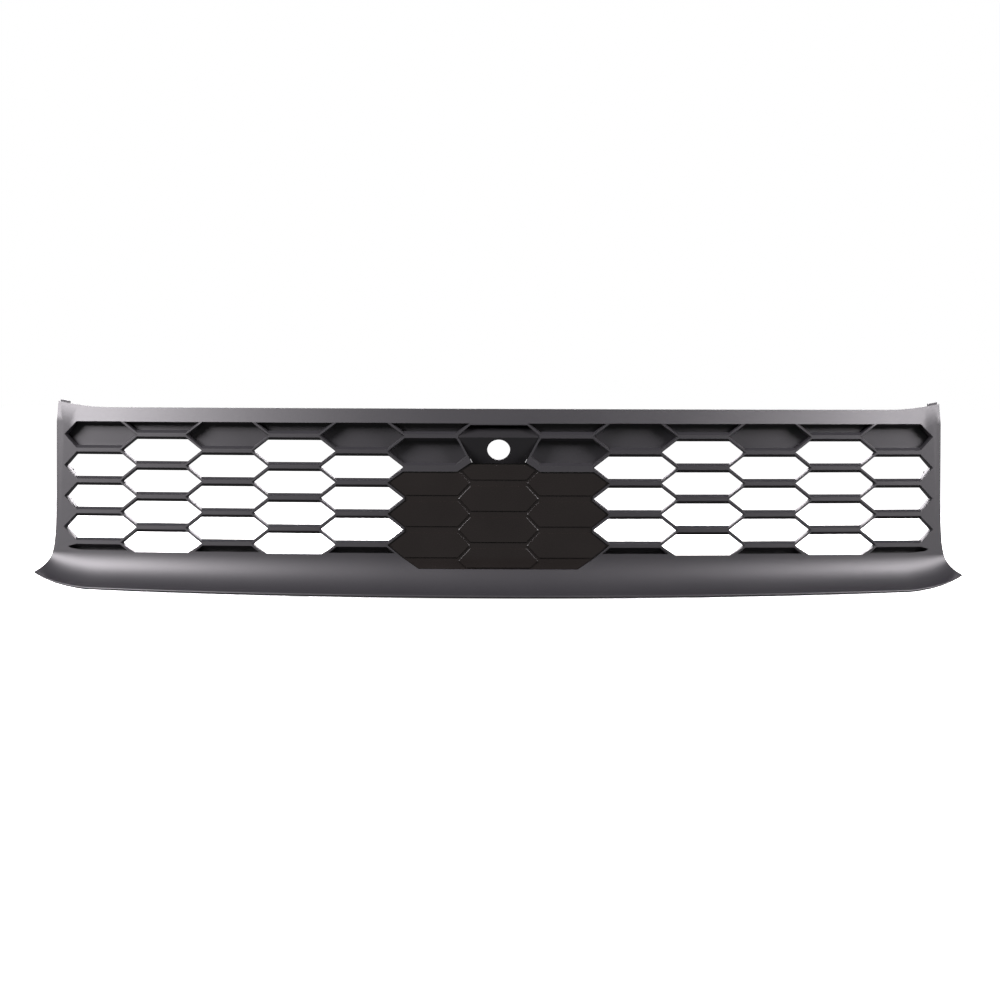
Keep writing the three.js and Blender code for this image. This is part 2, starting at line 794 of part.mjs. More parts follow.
function cameraBezel() {
  const section = [
    [bezelTopDepth, bezelTop + 1],
    [-bezelFoldOut, bezelFold],
    [bezelFootDepth, bezelFoot],
    [bezelFootDepth + bezelSkin, bezelFoot],
    [bezelSkin - bezelFoldOut, bezelFold],
    [bezelTopDepth + bezelSkin, bezelTop + 1],
  ];
  const sheet = sweep(section, stations(-bezelCornerHalf - 1, bezelCornerHalf + 1));
  const beyond = fieldDepth + bevelDepth;
  const plate = through(bezelOutline(), -beyond, beyond).intersect(sheet);
  const legs = sides.flatMap((side) => [bezelLeg(side), cameraEar(side, cameraEarFront)]);
  legs.push(bezelSkirt());
  const rear = cameraEarFront + earThickness;
  const holes = cameraScrews().map(({ s, z }) => rod(bossHole, s, z, cameraEarFront - 1, rear + 1));
  return without(joined([plate, ...legs]), [cameraHole(), ...holes]);
}

function squareTube(width, from, to) {
  const geometry = new THREE.BoxGeometry(width, to - from, width);
  geometry.translate(0, (from + to) / 2, cameraHoleHeight);
  return settled(geometry, 0);
}

function cameraBracket() {
  const end = cradleFront + cradleLength;
  const outside = cradleInside + 2 * cradleWall;
  const tube = squareTube(outside, cradleFront, end);
  const reach = cameraScrewPlace + cameraEarHeight / 2;
  const half = cameraEarHeight / 2;
  const high = [cameraHoleHeight - half, cameraHoleHeight + half];
  const arms = block([-reach, reach], [bracketFront, bracketRear], high);
  const holes = cameraScrews().map(({ s, z }) =>
    rod(bossHole, s, z, bracketFront - 1, bracketRear + 1),
  );
  return without(joined([tube, arms]), [squareTube(cradleInside, cradleFront - 1, end + 1), ...holes]);
}

// ---- Fasteners and seals -----------------------------------------------------------------------

// A screw along +Y, with its head's underside at the origin.
function screw(length) {
  const tip = screwShank / 2;
  return solid(
    turned([
      [0, -length],
      [tip, -length],
      [screwShank, -length + 1],
      [screwShank, 0],
      [screwHead, 0],
      [screwHead, screwHeadHeight / 2],
      [screwHead - 1, screwHeadHeight],
      [tip, screwHeadHeight],
      [0, screwHeadHeight - 1],
    ]),
  );
}

// A retainer along +Z, with its head's underside at the origin.
function retainerBody() {
  const grip = flangeThickness + 3 * gap;
  const geometry = turned([
    [retainerBore, -retainerLength],
    [retainerShank - 1, -retainerLength],
    [retainerBarb, -grip - 1],
    [retainerShank, -grip],
    [retainerShank, 0],
    [retainerHead, 0],
    [retainerHead, retainerHeadHeight],
    [retainerBore, retainerHeadHeight],
    [retainerBore, -retainerLength],
  ]);
  geometry.rotateX(Math.PI / 2);
  return solid(geometry);
}

function retainerPin() {
  const end = retainerLength + retainerHeadHeight + gap + 1;
  const geometry = turned([
    [0, -end],
    [pinShank - 1, -end],
    [pinShank, -end + 1],
    [pinShank, 0],
    [pinHead, 0],
    [pinHead, pinHeadHeight],
    [0, pinHeadHeight],
  ]);
  geometry.rotateX(Math.PI / 2);
  return solid(geometry);
}

// A spring clip folded around the rear edge of a tab, whose edge is at the origin, open to -Y.
function clipProfile() {
  const inside = tabThickness / 2 + gap;
  const outside = inside + clipThickness;
  return [
    [-clipGrip, -outside],
    [gap + clipThickness, -outside],
    [gap + clipThickness, outside],
    [-clipGrip, outside],
    [-clipGrip, inside],
    [gap, inside],
    [gap, -inside],
    [-clipGrip, -inside],
  ];
}

function lowerClip() {
  const half = clipWidth / 2;
  return prism(clipProfile(), [-half, half], (y, z, x) => new THREE.Vector3(x, y, z));
}

function sideNut(side) {
  const half = clipWidth / 2;
  const clip = prism(clipProfile(), [-half, half], (y, x, z) => new THREE.Vector3(x, y, z));
  const middle = -clipGrip / 2 - clipThickness;
  const start = tabThickness / 2 + gap + clipThickness / 2;
  const barrel = (radius, from, to) => {
    const geometry = new THREE.CylinderGeometry(radius, radius, to - from, roundSides);
    geometry.rotateZ(Math.PI / 2);
    geometry.translate((-side * (from + to)) / 2, middle, 0);
    return solid(geometry);
  };
  const nut = barrel(sideNutRadius, start, start + sideNutLength);
  return clip.add(nut).subtract(barrel(sideNutHole, -2 * start, start + sideNutLength + 1));
}

function airSeal(side) {
  const end = halfLength - sideBand - sealMargin;
  const along = [side * sealStart, side * end].sort((a, b) => a - b);
  const top = fieldTop - sealDrop;
  return block(along, [fieldRear, fieldRear + sealThickness], [top - sealWidth, top]);
}

// ---- Materials and assembly --------------------------------------------------------------------

function finish(color, roughness, metalness) {
  return new THREE.MeshStandardMaterial({ color, roughness, metalness });
}

const satinBlack = finish(0x3a393f, 0.5, 0);
const glossBlack = finish(0x121114, 0.15, 0);
const plainBlack = finish(0x1d1c1e, 0.45, 0);
const zincSteel = finish(0xa8a9a6, 0.35, 1);
const springSteel = finish(0x4a4d50, 0.4, 1);
const nylon = finish(0x17171a, 0.55, 0);
const foam = finish(0x222224, 0.95, 0);

const grille = new THREE.Group();

function add(name, body, material) {
  const mesh = new THREE.Mesh(geometryOf(body), material);
  mesh.name = name;
  grille.add(mesh);
  return mesh;
}

// Adds a rigid piece at a place of the flat layout, turned with the bend there.
function seat(name, body, material, s, y, z) {
  const mesh = add(name, body, material);
  mesh.position.copy(bent(s, y, z));
  mesh.rotation.z = s / bendRadius;
}

add("grille_moulding", grilleMoulding(), satinBlack);
add("radar_cover", radarCover(), glossBlack);
add("camera_bezel", cameraBezel(), plainBlack);
add("camera_bracket", cameraBracket(), plainBlack);

const radarScrewHead = fieldRear + earThickness + gap;
radarScrews().forEach(({ s, z }, i) => {
  const length = screwGrip + earThickness + gap;
  seat(`radar_cover_screw_${i + 1}`, screw(length), zincSteel, s, radarScrewHead, z);
});

cameraScrews().forEach(({ s, z }) => {
  const name = s < 0 ? "camera_screw_left" : "camera_screw_right";
  const length = screwGrip + 2 * (earThickness + gap);
  seat(name, screw(length), zincSteel, s, bracketRear + gap, z);
});

retainerPlaces.forEach((s, i) => {
  const head = flangeTop + gap;
  const pin = head + retainerHeadHeight + gap;
  seat(`top_retainer_body_${i + 1}`, retainerBody(), nylon, s, retainerDepth, head);
  seat(`top_retainer_pin_${i + 1}`, retainerPin(), nylon, s, retainerDepth, pin);
});

lowerClipPlaces.forEach((s, i) => {
  const middle = tabHeight + tabThickness / 2;
  seat(`lower_clip_${i + 1}`, lowerClip(), springSteel, s, tabRear, middle);
});

sides.forEach((side) => {
  const name = side < 0 ? "left" : "right";
  const place = side * (halfLength - skin / 2);
  seat(`side_nut_${name}`, sideNut(side), springSteel, place, sideTabRear, sideTabHeight);
  add(`air_seal_${name}`, airSeal(side), foam);
});

export default grille;
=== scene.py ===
import math

import bmesh
import bpy
from mathutils import Matrix, Vector


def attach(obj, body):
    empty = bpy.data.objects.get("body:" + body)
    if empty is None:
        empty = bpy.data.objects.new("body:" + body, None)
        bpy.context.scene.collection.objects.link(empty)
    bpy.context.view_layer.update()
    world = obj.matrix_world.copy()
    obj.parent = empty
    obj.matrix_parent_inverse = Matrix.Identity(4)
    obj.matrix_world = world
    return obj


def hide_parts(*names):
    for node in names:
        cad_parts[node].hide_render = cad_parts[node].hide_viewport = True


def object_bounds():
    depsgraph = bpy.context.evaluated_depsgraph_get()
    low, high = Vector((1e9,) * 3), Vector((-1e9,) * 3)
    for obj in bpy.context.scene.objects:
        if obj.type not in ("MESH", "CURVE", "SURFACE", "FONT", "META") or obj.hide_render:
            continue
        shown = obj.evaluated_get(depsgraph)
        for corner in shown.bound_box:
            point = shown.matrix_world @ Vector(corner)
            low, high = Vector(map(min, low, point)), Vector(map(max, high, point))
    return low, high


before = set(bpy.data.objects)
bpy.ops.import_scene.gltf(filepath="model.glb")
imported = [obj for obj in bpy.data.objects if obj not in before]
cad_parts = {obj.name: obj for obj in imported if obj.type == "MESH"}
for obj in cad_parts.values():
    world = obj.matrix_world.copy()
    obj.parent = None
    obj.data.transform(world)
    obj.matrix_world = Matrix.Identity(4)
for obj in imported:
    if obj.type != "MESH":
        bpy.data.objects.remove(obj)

cad_low, cad_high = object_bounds()

# ---- Layout of the grille -----------------------------------------------------------------------
# Pieces are laid out flat, in millimetres: length s, depth y (rearwards) and height z. bent() turns
# a point of that layout into its place in the frame.

MM = 0.001
BEND_RADIUS = 1790.0
HALF_LENGTH = 517.0
TOP_EDGE = 216.0
FIELD_BOTTOM = 49.6
FIELD_TOP = 200.0
FIELD_DEPTH = 15.0
SKIN = 3.0

BAND_LEAN = 5.2
HEM_DROP = 3.0
HEM_WIDTH = 2.8
FLANGE_REAR = 31.0
FLANGE_THICKNESS = 2.5
CORNER_RISE = 7.0
CORNER_RUN = 66.0

LIP_EDGE = 1.5
COVE_TURN = math.radians(60)
NOSE_RADIUS = 2.0
RETURN_REACH = 12.0
RETURN_THICKNESS = 2.5
COVE_RADIUS = (FIELD_BOTTOM - LIP_EDGE - NOSE_RADIUS * (1 + math.sin(COVE_TURN))) / math.sin(COVE_TURN)
LIP_BOW = 7.0
TIP_RISE = 18.0
TIP_RUN = 56.0
TIP_FLARE = 18.0
FLARE_TOP = 112.0
FLARE_RUN = 30.0
SIDE_WALL_REAR = 28.0

COLUMN_PITCH = 78.0
ROW_PITCH = 35.5
EVEN_ROW = 42.8
LAST_COLUMN = 6
TOP_ROW = 4
CELL_VERTEX = 47.0
CELL_FLAT = 30.8
CELL_HALF_HEIGHT = 12.5
END_VERTEX = 37.7
END_FLAT = 26.3
SLOT_UPPER = (3.0, 10.4)
SLOT_LOWER = (8.0, 8.5)
SLOT_TIP = 22.0
BEVEL_RISE = 3.1
BEVEL_POINT = 2.0
BEVEL_FLAT = 1.8
BEVEL_DEPTH = 4.0
POINT_DRAFT = 2.2
FLAT_DRAFT = 1.6
ROW_DRAFT = 0.6
BLANK_FLOOR = 12.5

RADAR_ROWS = [EVEN_ROW + (i + 0.5) * ROW_PITCH for i in (2, 1, 0)]
RADAR_POINT = 125.9
RADAR_NOTCH = 106.7
RADAR_FOOT = 34.0
RADAR_FOOT_HALF = 90.5
COVER_CLEARANCE = 0.4
COVER_SKIN = 3.0
GROOVE_DEPTH = 1.7
TILE_DEPTH = 0.6
TILE_HALF_HEIGHT = 13.8
TILE_VERTEX = 44.5
TILE_FLAT = 31.5
TILE_MARGIN = 1.5
TILE_SLOPE = 0.7
COVER_SKIRT = 2.0
FLANGE_LAP = 2.0
FLANGE_SHEET = 1.9
FLANGE_TRIM = 0.2
HALF_BAR = ROW_PITCH / 2 - CELL_HALF_HEIGHT
UPPER_BAR = EVEN_ROW + 3 * ROW_PITCH
RADAR_TOP = UPPER_BAR - HALF_BAR

BEZEL_FOOT = UPPER_BAR + 4.3
BEZEL_FOOT_HALF = 29.6
BEZEL_FOOT_DEPTH = 13.0
BEZEL_FOLD = BEZEL_FOOT + 29.9
BEZEL_FOLD_OUT = 1.0
BEZEL_TOP = BEZEL_FOOT + 43.6
BEZEL_TOP_HALF = 32.0
BEZEL_TOP_DEPTH = 11.0
BEZEL_CORNER = BEZEL_TOP - 11.7
BEZEL_CORNER_HALF = 45.5
BEZEL_SKIN = 2.5
BEZEL_RIM = 2.2
HOLE_HEIGHT = BEZEL_FOOT + 15.5
HOLE_RADIUS = 13.0

GAP = 0.3
FIELD_REAR = FIELD_DEPTH + GAP
EAR_THICKNESS = 2.5
EAR_WIDTH = 9.6
EAR_REACH = 13.0
BOSS_RADIUS = 4.6
BOSS_HOLE = 1.9
SCREW_GRIP = 7.0
FLANGE_TOP = TOP_EDGE - HEM_DROP
FLANGE_UNDER = FLANGE_TOP - FLANGE_THICKNESS
ORIGIN_DEPTH = FIELD_DEPTH + 1
TIP_HEIGHT = LIP_BOW + TIP_RISE
STATION = 8.0


def clamp(value):
    return min(1.0, max(0.0, value))


def lip_climb(s, z):
    along = abs(s) / HALF_LENGTH
    tip = max(0.0, (abs(s) - HALF_LENGTH + TIP_RUN) / TIP_RUN)
    return (LIP_BOW * along**2 + TIP_RISE * tip**3) * clamp(1 - z / FIELD_BOTTOM)


def corner_climb(s, z):
    run = max(0.0, (abs(s) - HALF_LENGTH + CORNER_RUN) / CORNER_RUN)
    return CORNER_RISE * run**2 * clamp((z - FIELD_TOP) / (TOP_EDGE - FIELD_TOP))


def tip_sweep(s, height):
    down = clamp((FLARE_TOP - height) / (FLARE_TOP - TIP_HEIGHT))
    out = clamp((abs(s) - HALF_LENGTH + FLARE_RUN) / FLARE_RUN)
    return math.copysign(TIP_FLARE * (0.15 * down + 0.85 * down**5) * out, s)


def bent(s, y, z):
    """The place in the frame, in metres, of a point of the flat layout."""
    height = z + lip_climb(s, z) + corner_climb(s, z)
    angle = (s + tip_sweep(s, height)) / BEND_RADIUS
    x = (BEND_RADIUS - y) * math.sin(angle)
    depth = BEND_RADIUS - (BEND_RADIUS - y) * math.cos(angle)
    return Vector((x, depth - ORIGIN_DEPTH, height - FLANGE_TOP)) * MM


# ---- Mesh tools ---------------------------------------------------------------------------------


def prism(outline, place, travel):
    """Extrudes an outline. place turns its points into layout points; travel is the way it goes."""
    bm = bmesh.new()
    face = bm.faces.new([bm.verts.new(place(*point)) for point in outline])
    moved = bmesh.ops.extrude_face_region(bm, geom=[face])["geom"]
    verts = [item for item in moved if isinstance(item, bmesh.types.BMVert)]
    bmesh.ops.translate(bm, verts=verts, vec=travel)
    bmesh.ops.recalc_face_normals(bm, faces=bm.faces)
    return bm


def swept(section, start, end):
    """A section in depth and height, carried along the length."""
    return prism(section, lambda y, z: Vector((start, y, z)), Vector((end - start, 0, 0)))


def through(outline, front, rear):
    """An outline in length and height, carried from one depth to another."""
    return prism(outline, lambda s, z: Vector((s, front, z)), Vector((0, rear - front, 0)))


def block(low, high):
    section = [(low[1], low[2]), (high[1], low[2]), (high[1], high[2]), (low[1], high[2])]
    return swept(section, low[0], high[0])


def rod(radius, s, z, front, rear, sides=32):
    bm = bmesh.new()
    turn = Matrix.Translation((s, (front + rear) / 2, z)) @ Matrix.Rotation(math.pi / 2, 4, "X")
    bmesh.ops.create_cone(
        bm,
        cap_ends=True,
        segments=sides,
        radius1=radius,
        radius2=radius,
        depth=rear - front,
        matrix=turn,
    )
    return bm


def gathered(shapes):
    """One bmesh that holds all the given ones."""
    whole = bmesh.new()
    for shape in shapes:
        mesh = bpy.data.meshes.new("part")
        shape.to_mesh(mesh)
        shape.free()
        whole.from_mesh(mesh)
        bpy.data.meshes.remove(mesh)
    return whole


def shape_object(bm, name):
    mesh = bpy.data.meshes.new(name)
    bm.to_mesh(mesh)
    bm.free()
    thing = bpy.data.objects.new(name, mesh)
    bpy.context.scene.collection.objects.link(thing)
    return thing


def combined(bm, other, operation, overlapping=False):
    """Cuts or joins two closed shapes."""
    body = shape_object(bm, "body")
    tool = shape_object(other, "tool")
    modifier = body.modifiers.new("combine", "BOOLEAN")
    modifier.operation = operation
    modifier.solver = "EXACT"
    modifier.use_self = overlapping
    modifier.object = tool
    result = bmesh.new()
    result.from_object(body, bpy.context.evaluated_depsgraph_get())
    for thing in (body, tool):
        mesh = thing.data
        bpy.data.objects.remove(thing)
        bpy.data.meshes.remove(mesh)
    bmesh.ops.remove_doubles(result, verts=result.verts, dist=1e-4)
    return result


def cut(bm, tools, overlapping=False):
    return combined(bm, gathered(tools), "DIFFERENCE", overlapping)


def join(bm, tools, overlapping=True):
    return combined(bm, gathered(tools), "UNION", overlapping)


def common(bm, tool):
    return combined(bm, tool, "INTERSECT")


def softened(bm, width, angle=28, segments=2):
    """Rounds the edges of a shape that are sharper than an angle in degrees."""
    bmesh.ops.dissolve_degenerate(bm, dist=1e-3, edges=bm.edges)
    limit = math.radians(angle)
    edges = [e for e in bm.edges if e.is_manifold and e.calc_face_angle() > limit]
    bmesh.ops.bevel(
        bm,
        geom=edges,
        offset=width,
        offset_type="OFFSET",
        segments=segments,
        profile=0.5,
        affect="EDGES",
        clamp_overlap=True,
        material=-1,
    )
    return bm


def sliced(bm, places, axis, keep=None):
    """Cuts extra edges across a shape so that it can follow a curve."""
    normal = Vector([float(i == axis) for i in range(3)])

    def crosses(face, place):
        along = [v.co[axis] for v in face.verts]
        return min(along) < place < max(along)

    for place in places:
        faces = [f for f in bm.faces if keep is None or keep(f.calc_center_median())]
        near = [f for f in faces if crosses(f, place)]
        edges = {e for f in near for e in f.edges}
        verts = {v for f in near for v in f.verts}
        bmesh.ops.bisect_plane(
            bm, geom=[*verts, *edges, *near], dist=1e-4, plane_co=normal * place, plane_no=normal
        )
    return bm


def even(start, end, step):
    count = max(1, math.ceil((end - start) / step))
    return [start + (end - start) * i / count for i in range(count + 1)]


def bend(bm):
    """Takes a finished flat shape to its place in the frame."""
    low = min(v.co.x for v in bm.verts)
    high = max(v.co.x for v in bm.verts)
    if high - low > 2 * STATION:
        sliced(bm, even(low, high, STATION)[1:-1], 0)
    for vert in bm.verts:
        vert.co = bent(*vert.co)
    return bm


def settle(bm, s, y, z):
    """Moves a rigid shape, drawn in millimetres about the origin, to its place along the bend."""
    turn = Matrix.Rotation(s / BEND_RADIUS, 4, "Z")
    bmesh.ops.transform(bm, matrix=turn @ Matrix.Scale(MM, 4), verts=bm.verts)
    bmesh.ops.translate(bm, vec=bent(s, y, z), verts=bm.verts)
    return bm


def lathe(profile, sides, axis=(0, 0, 1)):
    """Turns a profile of radius and height round the origin."""
    bm = bmesh.new()
    verts = [bm.verts.new((radius, 0, along)) for radius, along in profile]
    edges = [bm.edges.new(pair) for pair in zip(verts, verts[1:])]
    bmesh.ops.spin(
        bm,
        geom=[*verts, *edges],
        cent=(0, 0, 0),
        axis=(0, 0, 1),
        angle=2 * math.pi,
        steps=sides,
        use_merge=True,
    )
    bmesh.ops.remove_doubles(bm, verts=bm.verts, dist=1e-4)
    bmesh.ops.recalc_face_normals(bm, faces=bm.faces)
    turn = Vector((0, 0, 1)).rotation_difference(Vector(axis)).to_matrix().to_4x4()
    bmesh.ops.transform(bm, matrix=turn, verts=bm.verts)
    return bm


def piece(name, bm, material, node, body="grille", angle=32):
    """A finished piece that stands for a node of the frame and rides on its body."""
    thing = shape_object(bm, name)
    thing.data.materials.append(material)
    thing.data.shade_smooth()
    thing.data.set_sharp_from_angle(angle=math.radians(angle))
    weighted = thing.modifiers.new("flat faces stay flat", "WEIGHTED_NORMAL")
    weighted.keep_sharp = True
    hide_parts(node)
    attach(thing, body)
    return thing


# ---- Sections and outlines ----------------------------------------------------------------------


def arc(centre, radius, start, end, steps):
    turns = [start + (end - start) * i / steps for i in range(steps + 1)]
    return [(centre[0] + radius * math.cos(t), centre[1] + radius * math.sin(t)) for t in turns]


def cove(behind, turn=COVE_TURN):
    """The hollow face of the lip, from the field down, at a distance behind its face."""
    return arc((-COVE_RADIUS, FIELD_BOTTOM), COVE_RADIUS + behind, 0, -turn, 22)


def cove_depth(z):
    return math.sqrt(COVE_RADIUS**2 - (FIELD_BOTTOM - z) ** 2) - COVE_RADIUS


def lip_face():
    """The lip from the field down, round its edge, and back along its floor."""
    y, z = cove(0)[-1]
    centre = (y + NOSE_RADIUS * math.cos(COVE_TURN), z - NOSE_RADIUS * math.sin(COVE_TURN))
    nose = arc(centre, NOSE_RADIUS, math.pi - COVE_TURN, 1.5 * math.pi, 8)
    return [*cove(0), *nose[1:], (RETURN_REACH, LIP_EDGE)]


def lip_inside():
    floor = LIP_EDGE + RETURN_THICKNESS
    turn = math.asin((FIELD_BOTTOM - floor) / (COVE_RADIUS + SKIN))
    return [*cove(SKIN, turn)[1:], (RETURN_REACH, floor)]


def moulding_section():
    """Section through the field: top band, field, lip, and the flange at the back."""
    channel = FIELD_TOP + FLANGE_THICKNESS
    return [
        (HEM_WIDTH + BAND_LEAN, TOP_EDGE),
        (BAND_LEAN, TOP_EDGE),
        (0, FIELD_TOP),
        *lip_face(),
        *lip_inside()[::-1],
        (FIELD_DEPTH, FIELD_BOTTOM - SKIN),
        (FIELD_DEPTH, channel),
        (BAND_LEAN + 1, channel),
        (BAND_LEAN + HEM_WIDTH, FLANGE_UNDER),
        (FLANGE_REAR, FLANGE_UNDER),
        (FLANGE_REAR, FLANGE_TOP),
        (HEM_WIDTH + BAND_LEAN, FLANGE_TOP),
    ]


def end_section():
    """Section that closes each end."""
    return [
        (BAND_LEAN, TOP_EDGE),
        (0, FIELD_TOP),
        *lip_face(),
        (SIDE_WALL_REAR, FIELD_BOTTOM),
        (SIDE_WALL_REAR, FLANGE_TOP),
        (HEM_WIDTH + BAND_LEAN, FLANGE_TOP),
        (HEM_WIDTH + BAND_LEAN, TOP_EDGE),
    ]


def mirrored(half):
    return [*half, *[(-s, z) for s, z in reversed(half) if s > 0]]


def offset(outline, distance):
    """Moves the sides of a clockwise outline outwards, or inwards when the distance is negative."""
    sides = []
    for (x0, y0), (x1, y1) in zip(outline, [*outline[1:], outline[0]]):
        length = math.hypot(x1 - x0, y1 - y0)
        sides.append((-(y1 - y0) / length, (x1 - x0) / length))
    moved = []
    for i, (x, y) in enumerate(outline):
        (ax, ay), (bx, by) = sides[i - 1], sides[i]
        scale = distance / (1 + ax * bx + ay * by)
        moved.append((x + (ax + bx) * scale, y + (ay + by) * scale))
    return moved


def hexagon(column, row, vertex, flat, half_height):
    centre = column * COLUMN_PITCH
    right_vertex, right_flat = (END_VERTEX, END_FLAT) if column == LAST_COLUMN else (vertex, flat)
    left_vertex, left_flat = (END_VERTEX, END_FLAT) if column == -LAST_COLUMN else (vertex, flat)
    return [
        (centre - left_vertex, row),
        (centre - left_flat, row + half_height),
        (centre + right_flat, row + half_height),
        (centre + right_vertex, row),
        (centre + right_flat, row - half_height),
        (centre - left_flat, row - half_height),
    ]


def between(outline, low, high):
    """Keeps the part of a convex outline between two heights."""
    for limit, sign in ((low, 1), (high, -1)):
        kept = []
        for (s, z), (next_s, next_z) in zip(outline, [*outline[1:], outline[0]]):
            here = sign * (z - limit) >= 0
            if here:
                kept.append((s, z))
            if here != (sign * (next_z - limit) >= 0):
                share = (limit - z) / (next_z - z)
                kept.append((s + (next_s - s) * share, limit))
        outline = kept
    return outline


def lofted(rings):
    """A closed shape through rings of points that all have the same count."""
    bm = bmesh.new()
    loops = [[bm.verts.new(point) for point in ring] for ring in rings]
    hoops = [[bm.edges.new(pair) for pair in zip(loop, [*loop[1:], loop[0]])] for loop in loops]
    for one, other in zip(hoops, hoops[1:]):
        bmesh.ops.bridge_loops(bm, edges=[*one, *other])
    bm.faces.new(loops[0])
    bm.faces.new(loops[-1])
    bmesh.ops.recalc_face_normals(bm, faces=bm.faces)
    return bm


def tapered_slot(column, row):
    """The lowest cells of the outermost columns taper to a point above the lip.

    SLOT_UPPER and SLOT_LOWER are two corners of the taper: how far short of the usual outer point
    they stop, and how high above the row they are. SLOT_TIP is how far short the point itself stops.
    """
    side = math.copysign(1, column)
    inner = CELL_VERTEX - (CELL_VERTEX - CELL_FLAT) * (FIELD_BOTTOM - row) / CELL_HALF_HEIGHT
    outline = [
        (-inner, FIELD_BOTTOM),
        (-CELL_FLAT, row + CELL_HALF_HEIGHT),
        (END_FLAT, row + CELL_HALF_HEIGHT),
        (END_VERTEX - SLOT_UPPER[0], row + SLOT_UPPER[1]),
        (END_VERTEX - SLOT_LOWER[0], row + SLOT_LOWER[1]),
        (END_VERTEX - SLOT_TIP, FIELD_BOTTOM),
    ]
    return [(column * COLUMN_PITCH + side * s, z) for s, z in outline]


def cell_cutter(column, row, depth):
    """The space of one cell. It widens to the front by its bevel and to the rear by its draft."""
    if abs(column) == LAST_COLUMN and row < FIELD_BOTTOM:
        outline = tapered_slot(column, row)
    else:
        opening = hexagon(column, row, CELL_VERTEX, CELL_FLAT, CELL_HALF_HEIGHT)
        outline = between(opening, FIELD_BOTTOM, FIELD_TOP)

    def place(s, z, y):
        wide = max(0.0, (BEVEL_DEPTH - y) / BEVEL_DEPTH)
        back = max(0.0, (y - BEVEL_DEPTH) / (FIELD_DEPTH - BEVEL_DEPTH))
        off = (z - row) / CELL_HALF_HEIGHT
        side = math.copysign(1, s - column * COLUMN_PITCH)
        out = wide * (BEVEL_POINT - (BEVEL_POINT + BEVEL_FLAT) * abs(off))
        out += back * (POINT_DRAFT - (POINT_DRAFT - FLAT_DRAFT) * abs(off))
        rise = (wide * BEVEL_RISE + back * ROW_DRAFT) * off
        return Vector((s + side * out, y, min(FIELD_TOP, max(FIELD_BOTTOM, z + rise))))

    depths = (-BEVEL_DEPTH / 8, BEVEL_DEPTH, depth)
    return lofted([[place(s, z, y) for s, z in outline] for y in depths])


def radar_outline(top):
    """Half-bar teeth follow the cells at the sides; the foot lies on the cove."""
    teeth = []
    for row in RADAR_ROWS:
        half = ROW_PITCH / 2 - HALF_BAR / 2
        teeth += [(RADAR_NOTCH, row + half), (RADAR_POINT, row), (RADAR_NOTCH, row - half)]
    return mirrored(
        [
            (0, top),
            (BEZEL_FOOT_HALF + 2, top),
            (COLUMN_PITCH - CELL_FLAT, RADAR_TOP),
            (COLUMN_PITCH + CELL_FLAT, RADAR_TOP),
            *teeth[1:-1],
            (COLUMN_PITCH + CELL_FLAT, FIELD_BOTTOM - BEVEL_RISE),
            (RADAR_FOOT_HALF, RADAR_FOOT),
            (0, RADAR_FOOT),
        ]
    )


def bezel_outline():
    return mirrored(
        [
            (0, BEZEL_TOP),
            (BEZEL_TOP_HALF, BEZEL_TOP),
            (BEZEL_CORNER_HALF, BEZEL_CORNER),
            (BEZEL_CORNER_HALF, BEZEL_FOLD),
            (BEZEL_FOOT_HALF, BEZEL_FOOT),
            (0, BEZEL_FOOT),
        ]
    )


# ---- Grille moulding ----------------------------------------------------------------------------

BEYOND = FIELD_DEPTH + 3 * BEVEL_DEPTH
EDGE_ROUND = 0.6
RADAR_SCREWS = [
    *[(side * 133.0, z, (-side, 0)) for z in RADAR_ROWS[:2] for side in (-1, 1)],
    *[(side * COLUMN_PITCH, UPPER_BAR, (0, -1)) for side in (-1, 1)],
    *[(side * 60.0, RADAR_FOOT - BOSS_RADIUS - 1, (0, 1)) for side in (-1, 1)],
]
CAMERA_SCREW_PLACE = 56.0
BOSS_REAR = FIELD_DEPTH + 7.0
REAR_BOSS = (312.0, FIELD_TOP - 20, 5.0, FIELD_DEPTH + 19.0)
RETAINER_PLACES = [172.0 * (i - 2.5) for i in range(6)]
RETAINER_DEPTH = FIELD_DEPTH + 5.5
RETAINER_HOLE = 4.3
RETAINER_HEAD = 1.4
CLIP_PLACES = [156.0 * (i - 2.5) for i in range(6)]
TAB_REAR = FIELD_DEPTH + 21.0
TAB_WIDTH = 24.0
TAB_THICKNESS = 2.5
TAB_HEIGHT = 1.5
SIDE_TAB_REAR = FIELD_DEPTH + 31.0
SIDE_TAB_HEIGHT = 132.0
CLIP_GRIP = 14.0
CLIP_THICKNESS = 0.8
CLIP_WIDTH = 15.0


def cells():
    """Column, row and depth of every cell outside the radar cover. Blanked cells have a floor."""
    for column in [c for c in range(-LAST_COLUMN, LAST_COLUMN + 1) if c]:
        is_even = column % 2 == 0
        first = EVEN_ROW if is_even else EVEN_ROW + ROW_PITCH / 2
        for index in range(3 if abs(column) == 1 else 0, TOP_ROW + 1):
            blank = index == TOP_ROW or (is_even and index == 0) or abs(column) == 1
            depth = BLANK_FLOOR if blank else FIELD_DEPTH + BEVEL_DEPTH
            yield column, first + index * ROW_PITCH, depth


def cell_cutters():
    rim = offset(bezel_outline(), COVER_CLEARANCE + BEZEL_RIM)
    for column, row, depth in cells():
        cutter = cell_cutter(column, row, depth)
        if abs(column) == 1:
            cutter = cut(cutter, [through(rim, -FIELD_DEPTH, FIELD_DEPTH)])
        yield cutter


def lower_tab(s):
    front = RETURN_REACH - SKIN
    half = TAB_WIDTH / 2
    return block((s - half, front, TAB_HEIGHT), (s + half, TAB_REAR, TAB_HEIGHT + TAB_THICKNESS))


